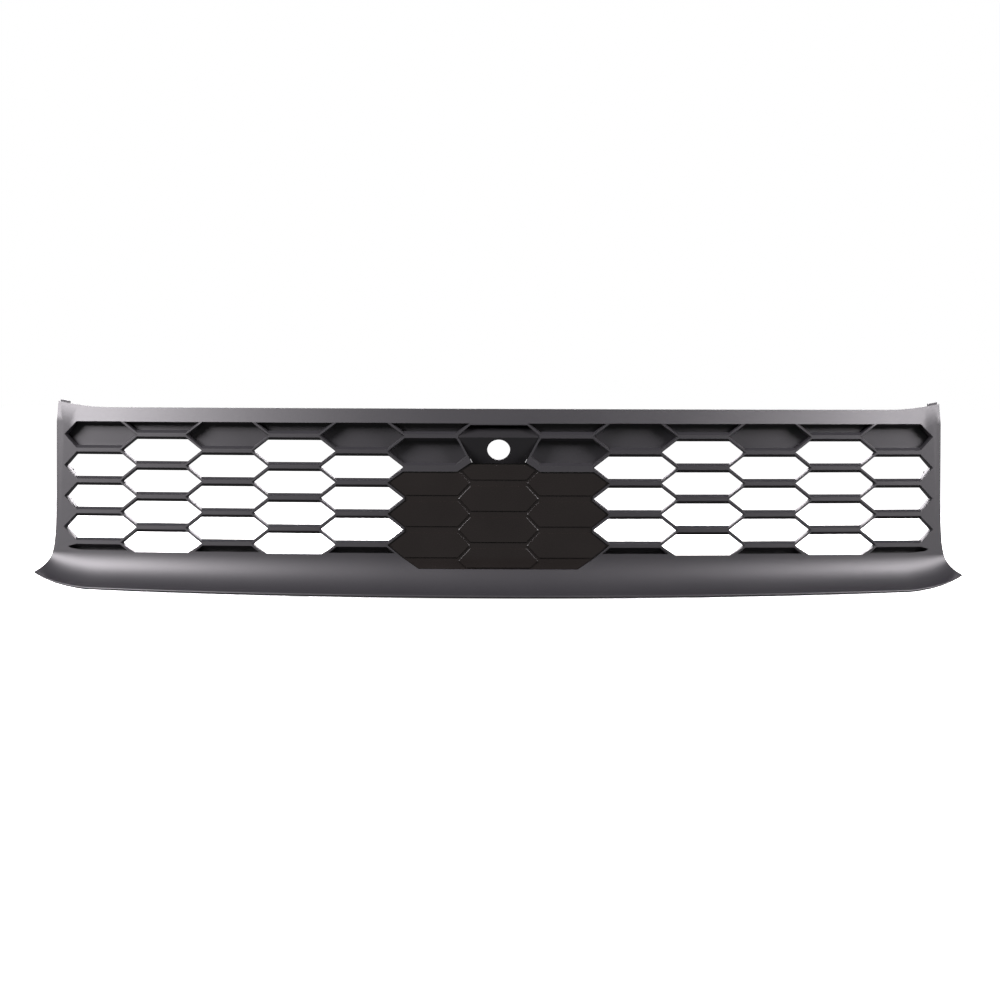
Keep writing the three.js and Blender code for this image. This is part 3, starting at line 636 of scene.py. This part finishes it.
def side_tab(side):
    middle = side * (HALF_LENGTH - SKIN / 2)
    half = TAB_THICKNESS / 2
    return block(
        (middle - half, SIDE_WALL_REAR - SKIN, SIDE_TAB_HEIGHT - TAB_WIDTH / 2),
        (middle + half, SIDE_TAB_REAR, SIDE_TAB_HEIGHT + TAB_WIDTH / 2),
    )


def corner_tab(side):
    near, far = sorted((side * (HALF_LENGTH - 13), side * (HALF_LENGTH - 2)))
    front = BAND_LEAN + HEM_WIDTH - 1
    return block((near, front, FLANGE_UNDER + 1), (far, front + 3, TOP_EDGE + 2.5))


def bosses():
    for s, z, _ in RADAR_SCREWS:
        if z < RADAR_FOOT:
            yield rod(BOSS_RADIUS, s, z, cove_depth(z + BOSS_RADIUS) + SKIN / 6, FIELD_DEPTH)
    for side in (-1, 1):
        yield rod(BOSS_RADIUS, side * CAMERA_SCREW_PLACE, HOLE_HEIGHT, FIELD_DEPTH - 1, BOSS_REAR)
        place, z, radius, rear = REAR_BOSS
        yield rod(radius, side * place, z, FIELD_DEPTH - 1, rear)


def screw_holes():
    for s, z, _ in RADAR_SCREWS:
        yield rod(BOSS_HOLE, s, z, FIELD_DEPTH - SCREW_GRIP - GAP, FIELD_DEPTH + GAP, 16)
    for side in (-1, 1):
        start = BOSS_REAR - SCREW_GRIP - GAP
        yield rod(BOSS_HOLE, side * CAMERA_SCREW_PLACE, HOLE_HEIGHT, start, BOSS_REAR + GAP, 16)
        place, z, _, rear = REAR_BOSS
        yield rod(BOSS_HOLE, side * place, z, rear - 2 * SCREW_GRIP, rear + GAP, 16)


def retainer_hole(s):
    bm = bmesh.new()
    middle = (FLANGE_TOP + FLANGE_UNDER) / 2
    bmesh.ops.create_cone(
        bm,
        cap_ends=True,
        segments=28,
        radius1=RETAINER_HOLE,
        radius2=RETAINER_HOLE,
        depth=2 * FLANGE_THICKNESS,
        matrix=Matrix.Translation((s, RETAINER_DEPTH, middle)),
    )
    return bm


def grille_moulding():
    body = swept(moulding_section(), -HALF_LENGTH, HALF_LENGTH)
    windows = [
        through(offset(radar_outline(BEZEL_FOOT + 1), COVER_CLEARANCE), -BEYOND, BEYOND),
        through(offset(bezel_outline(), COVER_CLEARANCE), -BEYOND, BEYOND),
    ]
    body = cut(body, list(cell_cutters()))
    body = cut(body, windows, overlapping=True)
    walls = []
    for side in (-1, 1):
        start, end = sorted((side * HALF_LENGTH, side * (HALF_LENGTH - SKIN)))
        walls += [swept(end_section(), start, end), side_tab(side), corner_tab(side)]
    body = join(body, [*walls, *[lower_tab(s) for s in CLIP_PLACES], *bosses()])
    body = cut(body, [*screw_holes(), *[retainer_hole(s) for s in RETAINER_PLACES]])
    softened(body, EDGE_ROUND)
    sliced(body, even(FIELD_BOTTOM + 5, FLARE_TOP, 6), 2, lambda c: abs(c.x) > HALF_LENGTH - 60)
    sliced(body, [205, 210], 2, lambda c: abs(c.x) > HALF_LENGTH - CORNER_RUN)
    return bend(body)


# ---- Radar cover --------------------------------------------------------------------------------

EAR_REAR = FIELD_REAR + EAR_THICKNESS


def face_sheet(front, rear, top):
    """A sheet that follows the field and the cove between two depths."""
    reach = RADAR_POINT + COVER_SKIN
    section = [(front, top), *cove(front), *cove(rear)[::-1], (rear, top)]
    return swept(section, -reach, reach)


def radar_tiles():
    """Raised tiles with sloping sides, so that each has a fine bright outline."""
    places = [(0, EVEN_ROW + i * ROW_PITCH) for i in range(4)]
    places += [(column, row) for row in RADAR_ROWS for column in (-1, 1)]
    outline = offset(radar_outline(BEZEL_FOOT - 2 * COVER_CLEARANCE), -TILE_MARGIN)
    within = common(
        face_sheet(TILE_DEPTH, GROOVE_DEPTH + COVER_SKIN / 2, BEZEL_FOOT),
        through(outline, -FIELD_DEPTH, FIELD_DEPTH),
    )
    for column, row in places:
        shape = hexagon(column, row, TILE_VERTEX, TILE_FLAT, TILE_HALF_HEIGHT)
        rings = [
            [Vector((s, y, z)) for s, z in offset(shape, TILE_SLOPE * (y - TILE_DEPTH))]
            for y in (-FIELD_DEPTH / 3, FIELD_DEPTH / 2)
        ]
        yield common(within.copy(), lofted(rings))


def radar_ear(s, z, inwards):
    half = EAR_WIDTH / 2
    along = (s - half, s + half, s + inwards[0] * EAR_REACH)
    high = (z - half, z + half, z + inwards[1] * EAR_REACH)
    return block((min(along), FIELD_REAR, min(high)), (max(along), EAR_REAR, max(high)))


def radar_cover():
    outline = radar_outline(BEZEL_FOOT - 2 * COVER_CLEARANCE)
    sheet = face_sheet(GROOVE_DEPTH, GROOVE_DEPTH + COVER_SKIN, BEZEL_FOOT)
    face = common(sheet, through(outline, -BEYOND, EAR_REAR))
    start = GROOVE_DEPTH + COVER_SKIN - 1
    flange = through(offset(outline, FLANGE_LAP), EAR_REAR - FLANGE_SHEET, EAR_REAR)
    skirt = cut(
        join(through(outline, start, EAR_REAR), [flange]),
        [through(offset(outline, -COVER_SKIRT), start - 1, EAR_REAR + 1)],
    )
    ears = [radar_ear(*screw) for screw in RADAR_SCREWS]
    body = join(face, [skirt, *ears, *radar_tiles()])
    holes = [rod(BOSS_HOLE, s, z, FIELD_REAR - 1, EAR_REAR + 1, 16) for s, z, _ in RADAR_SCREWS]
    return bend(softened(cut(body, holes), 0.35))


# ---- Camera bezel and bracket -------------------------------------------------------------------

BEZEL_SLOPE = math.atan2(BEZEL_FOOT_DEPTH + BEZEL_FOLD_OUT, BEZEL_FOLD - BEZEL_FOOT)
HOLE_DEPTH = (BEZEL_FOLD - HOLE_HEIGHT) * math.tan(BEZEL_SLOPE) - BEZEL_FOLD_OUT
LEG_INSIDE = 29.5
LEG_OUTSIDE = 34.0
CAMERA_EAR = 11.0
CAMERA_EAR_FRONT = BOSS_REAR + GAP
CAMERA_EAR_REAR = CAMERA_EAR_FRONT + EAR_THICKNESS
BRACKET_FRONT = CAMERA_EAR_REAR + GAP
BRACKET_REAR = BRACKET_FRONT + EAR_THICKNESS
CRADLE_INSIDE = 30.0
CRADLE_WALL = 2.0
CRADLE_START = FIELD_DEPTH + 6.0
CRADLE_END = CRADLE_START + 20.0


def aimed(bm):
    """Turns a shape drawn around +Z to the axis of the camera hole."""
    turn = Matrix.Rotation(-math.pi / 2 + BEZEL_SLOPE, 4, "X")
    place = Matrix.Translation((0, HOLE_DEPTH, HOLE_HEIGHT))
    bmesh.ops.transform(bm, matrix=place @ turn, verts=bm.verts)
    return bm


def cone_between(radius1, radius2, start, end, sides):
    bm = bmesh.new()
    bmesh.ops.create_cone(
        bm,
        cap_ends=True,
        segments=sides,
        radius1=radius1,
        radius2=radius2,
        depth=end - start,
        matrix=Matrix.Translation((0, 0, (start + end) / 2)),
    )
    return bm


def camera_ear(side):
    near, far = sorted((side * LEG_INSIDE, side * (CAMERA_SCREW_PLACE + CAMERA_EAR / 2)))
    half = CAMERA_EAR / 2
    low, high = HOLE_HEIGHT - half, HOLE_HEIGHT + half
    return block((near, CAMERA_EAR_FRONT, low), (far, CAMERA_EAR_REAR, high))


def camera_screw_holes(front, rear):
    """Cutters for the two screws that hold bezel and bracket, a little longer than the sheet."""
    places = (-CAMERA_SCREW_PLACE, CAMERA_SCREW_PLACE)
    return [rod(BOSS_HOLE, s, HOLE_HEIGHT, front - 1, rear + 1, 16) for s in places]


def plate_depth(z):
    return (BEZEL_FOLD - z) * math.tan(BEZEL_SLOPE) - BEZEL_FOLD_OUT + BEZEL_SKIN / 2


def bezel_leg(side):
    near, far = sorted((side * LEG_INSIDE, side * LEG_OUTSIDE))
    low, high = HOLE_HEIGHT - CAMERA_EAR / 2, HOLE_HEIGHT + CAMERA_EAR / 2
    section = [
        (plate_depth(low), low),
        (CAMERA_EAR_REAR, low),
        (CAMERA_EAR_REAR, high),
        (plate_depth(high), high),
    ]
    return swept(section, near, far)


def bezel_skirt():
    """Walls behind the sides and top of the plate, with a flange that laps behind the field."""
    low = BEZEL_FOOT + 5
    half = BEZEL_SKIN / 2
    section = [
        (BEZEL_TOP_DEPTH + half, BEZEL_TOP + FLANGE_LAP),
        (half - BEZEL_FOLD_OUT, BEZEL_FOLD),
        (plate_depth(low), low),
        (EAR_REAR, low),
        (EAR_REAR, BEZEL_TOP + FLANGE_LAP),
    ]
    reach = BEZEL_CORNER_HALF + FLANGE_LAP
    outline = bezel_outline()
    front = -BEZEL_FOLD_OUT - 1
    flange = through(offset(outline, FLANGE_LAP - FLANGE_TRIM), EAR_REAR - FLANGE_SHEET, EAR_REAR)
    walls = cut(
        join(through(outline, front, EAR_REAR), [flange]),
        [through(offset(outline, -COVER_SKIRT), front - 1, EAR_REAR + 1)],
    )
    return common(walls, swept(section, -reach, reach))


def camera_bezel():
    section = [
        (BEZEL_TOP_DEPTH, BEZEL_TOP + 1),
        (-BEZEL_FOLD_OUT, BEZEL_FOLD),
        (BEZEL_FOOT_DEPTH, BEZEL_FOOT),
        (BEZEL_FOOT_DEPTH + BEZEL_SKIN, BEZEL_FOOT),
        (BEZEL_SKIN - BEZEL_FOLD_OUT, BEZEL_FOLD),
        (BEZEL_TOP_DEPTH + BEZEL_SKIN, BEZEL_TOP + 1),
    ]
    reach = BEZEL_CORNER_HALF + 1
    plate = common(swept(section, -reach, reach), through(bezel_outline(), -BEYOND, BEYOND))
    legs = [part for side in (-1, 1) for part in (bezel_leg(side), camera_ear(side))]
    holes = camera_screw_holes(CAMERA_EAR_FRONT, CAMERA_EAR_REAR)
    body = join(plate, [*legs, bezel_skirt()])
    eye = aimed(cone_between(HOLE_RADIUS, HOLE_RADIUS, -2 * HOLE_RADIUS, 2 * HOLE_RADIUS, 72))
    return bend(softened(cut(body, [eye, *holes]), 0.5))


def square_tube(width, start, end):
    half = width / 2
    return block((-half, start, HOLE_HEIGHT - half), (half, end, HOLE_HEIGHT + half))


def camera_bracket():
    outside = CRADLE_INSIDE + 2 * CRADLE_WALL
    reach = CAMERA_SCREW_PLACE + CAMERA_EAR / 2
    half = CAMERA_EAR / 2
    low, high = HOLE_HEIGHT - half, HOLE_HEIGHT + half
    arms = block((-reach, BRACKET_FRONT, low), (reach, BRACKET_REAR, high))
    holes = camera_screw_holes(BRACKET_FRONT, BRACKET_REAR)
    body = join(square_tube(outside, CRADLE_START, CRADLE_END), [arms])
    inside = square_tube(CRADLE_INSIDE, CRADLE_START - 1, CRADLE_END + 9)
    return bend(softened(cut(body, [inside, *holes]), 0.5))


# ---- Fasteners and seals ------------------------------------------------------------------------


def screw(length):
    """A pan-head screw along +Y with a cross recess. Its head's underside is at the origin."""
    head = [(0, -2.2), (1.7, -2.2), (2.7, -1.9), (3.4, -1.1), (3.6, -0.4), (3.6, 0), (1.6, 0)]
    thread = []
    for i in range(int((length - 2) / 0.8)):
        along = 0.8 + 0.8 * i
        thread += [(1.35, along), (1.6, along + 0.3), (1.6, along + 0.4)]
    profile = [*head, *thread, (1.3, length - 1), (0.5, length), (0, length)]
    body = lathe(profile, 28, (0, 1, 0))
    slots = [
        block((-2.1, -3, -0.45), (2.1, -1.1, 0.45)),
        block((-0.45, -3, -2.1), (0.45, -1.1, 2.1)),
    ]
    turned = cut(body, slots, overlapping=True)
    bmesh.ops.transform(turned, matrix=Matrix.Rotation(math.pi, 4, "X"), verts=turned.verts)
    return turned


def retainer_body():
    """The slotted sleeve of a push rivet along +Z, with its head's underside at the origin."""
    grip = FLANGE_THICKNESS + 3 * GAP
    profile = [
        (2.3, -12), (2.9, -12), (4.9, -grip - 1.2), (4.8, -grip - 0.8), (3.9, -grip), (3.9, 0),
        (8.1, 0), (8.5, 0.4), (8.3, 1.1), (7.6, 1.4), (6.2, 1.4), (5.9, 1.2), (2.6, 1.2),
        (2.3, 0.9), (2.3, -12),
    ]
    body = lathe(profile, 40)
    slots = [
        block((-9, -0.7, -13), (9, 0.7, -grip - 0.4)),
        block((-0.7, -9, -13), (0.7, 9, -grip - 0.4)),
    ]
    return cut(body, slots, overlapping=True)


def retainer_pin():
    """The pin of a push rivet, with a domed head and notches to pry it up."""
    end = 12 + RETAINER_HEAD + GAP + 1
    profile = [
        (0, -end), (0.9, -end), (1.9, -end + 1.2), (1.9, -end + 2.6), (1.6, -end + 3), (1.6, -4),
        (1.9, -3.6), (1.9, 0), (4.6, 0), (5, 0.3), (4.8, 0.7), (3.6, 1.0), (2.0, 1.1), (0, 1.1),
    ]
    body = lathe(profile, 32)
    notches = [block((-0.5, -6, 0.75), (0.5, -2.4, 2)), block((-1.8, -0.4, 0.8), (1.8, 0.4, 2))]
    return cut(body, notches, overlapping=True)


def clip_profile():
    inside = TAB_THICKNESS / 2 + GAP
    outside = inside + CLIP_THICKNESS
    return [
        (-CLIP_GRIP, -outside),
        (GAP + CLIP_THICKNESS, -outside),
        (GAP + CLIP_THICKNESS, outside),
        (-CLIP_GRIP, outside),
        (-CLIP_GRIP, inside),
        (GAP, inside),
        (GAP, -inside),
        (-CLIP_GRIP, -inside),
    ]


def spring_clip():
    """A folded clip with a window in each leg, open to -Y."""
    half = CLIP_WIDTH / 2
    body = swept(clip_profile(), -half, half)
    window = block((-2.6, -10.5, -4), (2.6, -5.5, 4))
    return softened(cut(body, [window]), 0.25)


def side_nut(side):
    """A clip with a pressed barrel nut on its inner leg."""
    half = CLIP_WIDTH / 2
    body = prism(clip_profile(), lambda y, x: Vector((x, y, -half)), Vector((0, 0, 2 * half)))
    middle = -CLIP_GRIP / 2 - CLIP_THICKNESS
    start = TAB_THICKNESS / 2 + GAP + CLIP_THICKNESS / 2
    turn = Matrix.Translation((0, middle, 0)) @ Matrix.Rotation(-side * math.pi / 2, 4, "Y")
    barrel = cone_between(4.5, 4.2, start, start + 4, 32)
    bore = cone_between(2.3, 2.3, -2 * start, start + 5, 24)
    for shape in (barrel, bore):
        bmesh.ops.transform(shape, matrix=turn, verts=shape.verts)
    return softened(cut(join(body, [barrel]), [bore]), 0.2)


def air_seal(side):
    """A foam strip with soft edges and a slightly uneven face."""
    start, end = sorted((side * 72, side * (HALF_LENGTH - 11.3 - 6)))
    top = FIELD_TOP - 2
    body = block((start, FIELD_REAR, top - 12), (end, FIELD_REAR + 6, top))
    softened(body, 1.0, segments=3)
    sliced(body, even(start, end, 12)[1:-1], 0)
    return bend(body)


# ---- Materials ----------------------------------------------------------------------------------


class Signal:
    """A socket of a material. Arithmetic on it adds Math nodes."""

    def __init__(self, finish, socket):
        self.finish = finish
        self.socket = socket

    def reckon(self, operation, first, second):
        return self.finish.node("Math", {"operation": operation}, {0: first, 1: second})

    def __add__(self, other):
        return self.reckon("ADD", self, other)

    def __radd__(self, other):
        return self.reckon("ADD", other, self)

    def __mul__(self, other):
        return self.reckon("MULTIPLY", self, other)

    def __rmul__(self, other):
        return self.reckon("MULTIPLY", other, self)


class Finish:
    """A material in the making, with one Principled shader at its end."""

    def __init__(self, name):
        self.material = bpy.data.materials.new(name)
        self.material.use_nodes = True
        self.tree = self.material.node_tree
        self.tree.nodes.clear()

    def node(self, kind, settings, sockets, output=0):
        node = self.tree.nodes.new("ShaderNode" + kind)
        for name, value in settings.items():
            setattr(node, name, value)
        for name, value in sockets.items():
            if isinstance(value, Signal):
                self.tree.links.new(value.socket, node.inputs[name])
            else:
                node.inputs[name].default_value = value
        return Signal(self, node.outputs[output])

    def place(self):
        return self.node("TexCoord", {}, {}, "Object")

    def noise(self, size, detail=2.0, roughness=0.5):
        """Noise with features of a size in metres, from 0 to 1."""
        sockets = {"Vector": self.place(), "Scale": 1 / size, "Detail": detail, "Roughness": roughness}
        return self.node("TexNoise", {}, sockets, "Fac")

    def mix(self, share, one, other):
        """Goes from one colour to another."""
        sockets = {0: share, 6: one, 7: other}
        return self.node("Mix", {"data_type": "RGBA", "clamp_factor": True}, sockets, 2)

    def bump(self, height, depth, strength=1.0, normal=None):
        sockets = {"Height": height, "Distance": depth, "Strength": strength}
        if normal:
            sockets["Normal"] = normal
        return self.node("Bump", {}, sockets)

    def end(self, **sockets):
        names = {key.replace("_", " "): value for key, value in sockets.items()}
        shader = self.node("BsdfPrincipled", {}, names)
        output = self.tree.nodes.new("ShaderNodeOutputMaterial")
        self.tree.links.new(shader.socket, output.inputs["Surface"])
        return self.material


def satin_plastic():
    """Painted anthracite plastic with a fine even grain."""
    finish = Finish("satin_anthracite")
    patches = finish.noise(0.09, 3)
    grain = finish.noise(0.0006, 3, 0.6)
    peel = finish.noise(0.006, 1)
    fine = finish.bump(grain, 0.00004, 0.5)
    return finish.end(
        Base_Color=finish.mix(patches, (0.0076, 0.0073, 0.0084, 1), (0.0092, 0.0089, 0.0102, 1)),
        Roughness=0.40 + 0.07 * grain + 0.04 * patches,
        Normal=finish.bump(peel, 0.0001, 0.25, fine),
    )


def gloss_black():
    """Piano-black lacquer with slight waves and a faint haze."""
    finish = Finish("gloss_black")
    haze = finish.noise(0.05, 4)
    waves = finish.noise(0.012, 1)
    dust = finish.noise(0.0009, 2)
    return finish.end(
        Base_Color=finish.mix(haze, (0.0055, 0.0046, 0.0042, 1), (0.0075, 0.0064, 0.0058, 1)),
        Roughness=0.10 + 0.07 * haze + 0.03 * dust,
        Normal=finish.bump(waves, 0.0001, 0.2),
    )


def bezel_plastic():
    """Black moulded plastic with a spark-eroded texture."""
    finish = Finish("textured_black")
    grain = finish.noise(0.0005, 4, 0.65)
    patches = finish.noise(0.04, 3)
    return finish.end(
        Base_Color=finish.mix(patches, (0.0055, 0.0053, 0.0058, 1), (0.0070, 0.0068, 0.0074, 1)),
        Roughness=0.38 + 0.1 * grain,
        Specular_IOR_Level=0.35,
        Normal=finish.bump(grain, 0.00005, 0.6),
    )


def zinc_steel():
    """Zinc-plated steel with a soft mottle."""
    finish = Finish("zinc_steel")
    mottle = finish.noise(0.002, 5, 0.6)
    blotch = finish.noise(0.008, 2)
    return finish.end(
        Base_Color=finish.mix(blotch, (0.50, 0.50, 0.47, 1), (0.62, 0.62, 0.60, 1)),
        Metallic=1.0,
        Roughness=0.28 + 0.2 * mottle,
        Normal=finish.bump(mottle, 0.00003, 0.4),
    )


def spring_steel():
    """Phosphated spring steel, dark grey and dull."""
    finish = Finish("phosphated_steel")
    crystals = finish.noise(0.0004, 4, 0.7)
    stain = finish.noise(0.006, 3)
    return finish.end(
        Base_Color=finish.mix(stain, (0.060, 0.064, 0.068, 1), (0.11, 0.112, 0.115, 1)),
        Metallic=0.85,
        Roughness=0.42 + 0.2 * crystals,
        Normal=finish.bump(crystals, 0.00003, 0.5),
    )


def nylon():
    """Black nylon with a slightly cloudy sheen."""
    finish = Finish("black_nylon")
    cloud = finish.noise(0.004, 3)
    grain = finish.noise(0.0005, 2)
    return finish.end(
        Base_Color=finish.mix(cloud, (0.014, 0.014, 0.016, 1), (0.024, 0.024, 0.026, 1)),
        Roughness=0.45 + 0.15 * cloud,
        Normal=finish.bump(grain, 0.00003, 0.4),
    )


def foam():
    """Open-cell foam: pores of about half a millimetre, with painted shade that darkens the colour in
    each pore.
    """
    finish = Finish("seal_foam")
    sockets = {"Vector": finish.place(), "Scale": 1100.0}
    pores = finish.node("TexVoronoi", {}, sockets, "Distance")
    cloud = finish.noise(0.01, 3)
    return finish.end(
        # painted shade: the colour is darker towards the middle of each pore, where the bump dents it
        Base_Color=finish.mix(pores, (0.010, 0.010, 0.011, 1), (0.036, 0.036, 0.038, 1)),
        Roughness=0.85 + 0.12 * cloud,
        Normal=finish.bump(pores, 0.0003, 0.9),
    )


# ---- The pieces ---------------------------------------------------------------------------------


def build_pieces():
    satin, gloss, black = satin_plastic(), gloss_black(), bezel_plastic()
    zinc, spring, rivet, seal = zinc_steel(), spring_steel(), nylon(), foam()

    def add(node, bm, material, body="grille"):
        piece("fine_" + node, bm, material, node, body)

    add("grille_moulding", grille_moulding(), satin)
    add("radar_cover", radar_cover(), gloss)
    add("camera_bezel", camera_bezel(), black)
    add("camera_bracket", camera_bracket(), black)
    for i, (s, z, _) in enumerate(RADAR_SCREWS, 1):
        length = SCREW_GRIP + EAR_THICKNESS + GAP
        name = f"radar_cover_screw_{i}"
        add(name, settle(screw(length), s, EAR_REAR + GAP, z), zinc)
    for side, name in ((-1, "left"), (1, "right")):
        length = SCREW_GRIP + 2 * (EAR_THICKNESS + GAP)
        s, y = side * CAMERA_SCREW_PLACE, BRACKET_REAR + GAP
        add(f"camera_screw_{name}", settle(screw(length), s, y, HOLE_HEIGHT), zinc)
        place = side * (HALF_LENGTH - SKIN / 2)
        nut = settle(side_nut(side), place, SIDE_TAB_REAR, SIDE_TAB_HEIGHT)
        add(f"side_nut_{name}", nut, spring)
        add(f"air_seal_{name}", air_seal(side), seal)
    for i, s in enumerate(RETAINER_PLACES, 1):
        head = FLANGE_TOP + GAP
        sleeve = settle(retainer_body(), s, RETAINER_DEPTH, head)
        add(f"top_retainer_body_{i}", sleeve, rivet)
        pin = settle(retainer_pin(), s, RETAINER_DEPTH, head + RETAINER_HEAD + GAP)
        add(f"top_retainer_pin_{i}", pin, rivet, f"retainer_pin_{i}")
    for i, s in enumerate(CLIP_PLACES, 1):
        clip = settle(spring_clip(), s, TAB_REAR, TAB_HEIGHT + TAB_THICKNESS / 2)
        add(f"lower_clip_{i}", clip, spring)


build_pieces()

# ---- Stage, light and camera --------------------------------------------------------------------


LIGHT_AIM = Vector((0, 0, -0.1))
LIGHT_DISTANCE = 3.0
LIGHT_COLOUR = (1.0, 0.955, 1.0)


def pale_floor():
    """A wide white floor just under the lip. It glows, so that it stays white everywhere."""
    bm = bmesh.new()
    bmesh.ops.create_grid(bm, x_segments=1, y_segments=1, size=30)
    bmesh.ops.translate(bm, vec=(0, 0, cad_low[2] - 0.0006), verts=bm.verts)
    floor = shape_object(bm, "floor")
    finish = Finish("floor_white")
    shade = finish.noise(2.0)
    pale = finish.mix(shade, (0.90, 0.90, 0.90, 1), (0.92, 0.92, 0.92, 1))
    floor.data.materials.append(
        finish.end(Base_Color=pale, Roughness=0.9, Emission_Color=(1, 1, 1, 1), Emission_Strength=1.0)
    )
    floor.visible_diffuse = False
    floor.visible_glossy = False


def softbox(name, azimuth, height, width, power):
    """A square lamp turned to the grille. Its angles are from straight ahead and from level."""
    light = bpy.data.lights.new(name, "AREA")
    light.shape = "SQUARE"
    light.size = width
    light.energy = power
    light.color = LIGHT_COLOUR
    turn, rise = math.radians(azimuth), math.radians(height)
    out = Vector((math.sin(turn) * math.cos(rise), -math.cos(turn) * math.cos(rise), math.sin(rise)))
    lamp = bpy.data.objects.new(name, light)
    lamp.location = LIGHT_AIM + LIGHT_DISTANCE * out
    lamp.rotation_euler = out.to_track_quat("Z", "Y").to_euler()
    bpy.context.scene.collection.objects.link(lamp)


def white_surroundings(below, above):
    """A room that is white to the eye. It gives a little light from below and less from above."""
    world = bpy.data.worlds.new("white_room")
    bpy.context.scene.world = world
    world.use_nodes = True
    nodes, links = world.node_tree.nodes, world.node_tree.links
    nodes.clear()
    direction = nodes.new("ShaderNodeTexCoord")
    axes = nodes.new("ShaderNodeSeparateXYZ")
    links.new(direction.outputs["Generated"], axes.inputs["Vector"])
    room = nodes.new("ShaderNodeMapRange")
    room.inputs["From Min"].default_value = -0.2
    room.inputs["From Max"].default_value = 0.25
    room.inputs["To Min"].default_value = below
    room.inputs["To Max"].default_value = above
    links.new(axes.outputs["Z"], room.inputs["Value"])
    seen = nodes.new("ShaderNodeLightPath")
    strength = nodes.new("ShaderNodeMapRange")
    strength.inputs["To Max"].default_value = 1.0
    links.new(room.outputs["Result"], strength.inputs["To Min"])
    links.new(seen.outputs["Is Camera Ray"], strength.inputs["Value"])
    background = nodes.new("ShaderNodeBackground")
    background.inputs["Color"].default_value = (1, 1, 1, 1)
    links.new(strength.outputs["Result"], background.inputs["Strength"])
    output = nodes.new("ShaderNodeOutputWorld")
    links.new(background.outputs["Background"], output.inputs["Surface"])


def long_lens():
    """A long lens from the front, a little above the middle of the grille."""
    data = bpy.data.cameras.new("camera")
    data.lens = 151.6
    data.sensor_width = 36.0
    data.clip_end = 100.0
    camera = bpy.data.objects.new("camera", data)
    camera.location = (0.0, -4.8, 0.037)
    aim = Vector((0.0017, 0.0, -0.101))
    turn = (aim - camera.location).to_track_quat("-Z", "Y")
    roll = Matrix.Rotation(math.radians(0.2), 4, "Z")
    camera.rotation_euler = (turn.to_matrix().to_4x4() @ roll).to_euler()
    bpy.context.scene.collection.objects.link(camera)
    bpy.context.scene.camera = camera


pale_floor()
softbox("left_softbox", -60, 27, 1.4, 320)
softbox("right_softbox", 62, 27, 1.4, 250)
softbox("back_softbox", 180, 30, 1.4, 110)
white_surroundings(0.22, 0.03)
long_lens()
bpy.context.scene.view_settings.view_transform = "Standard"
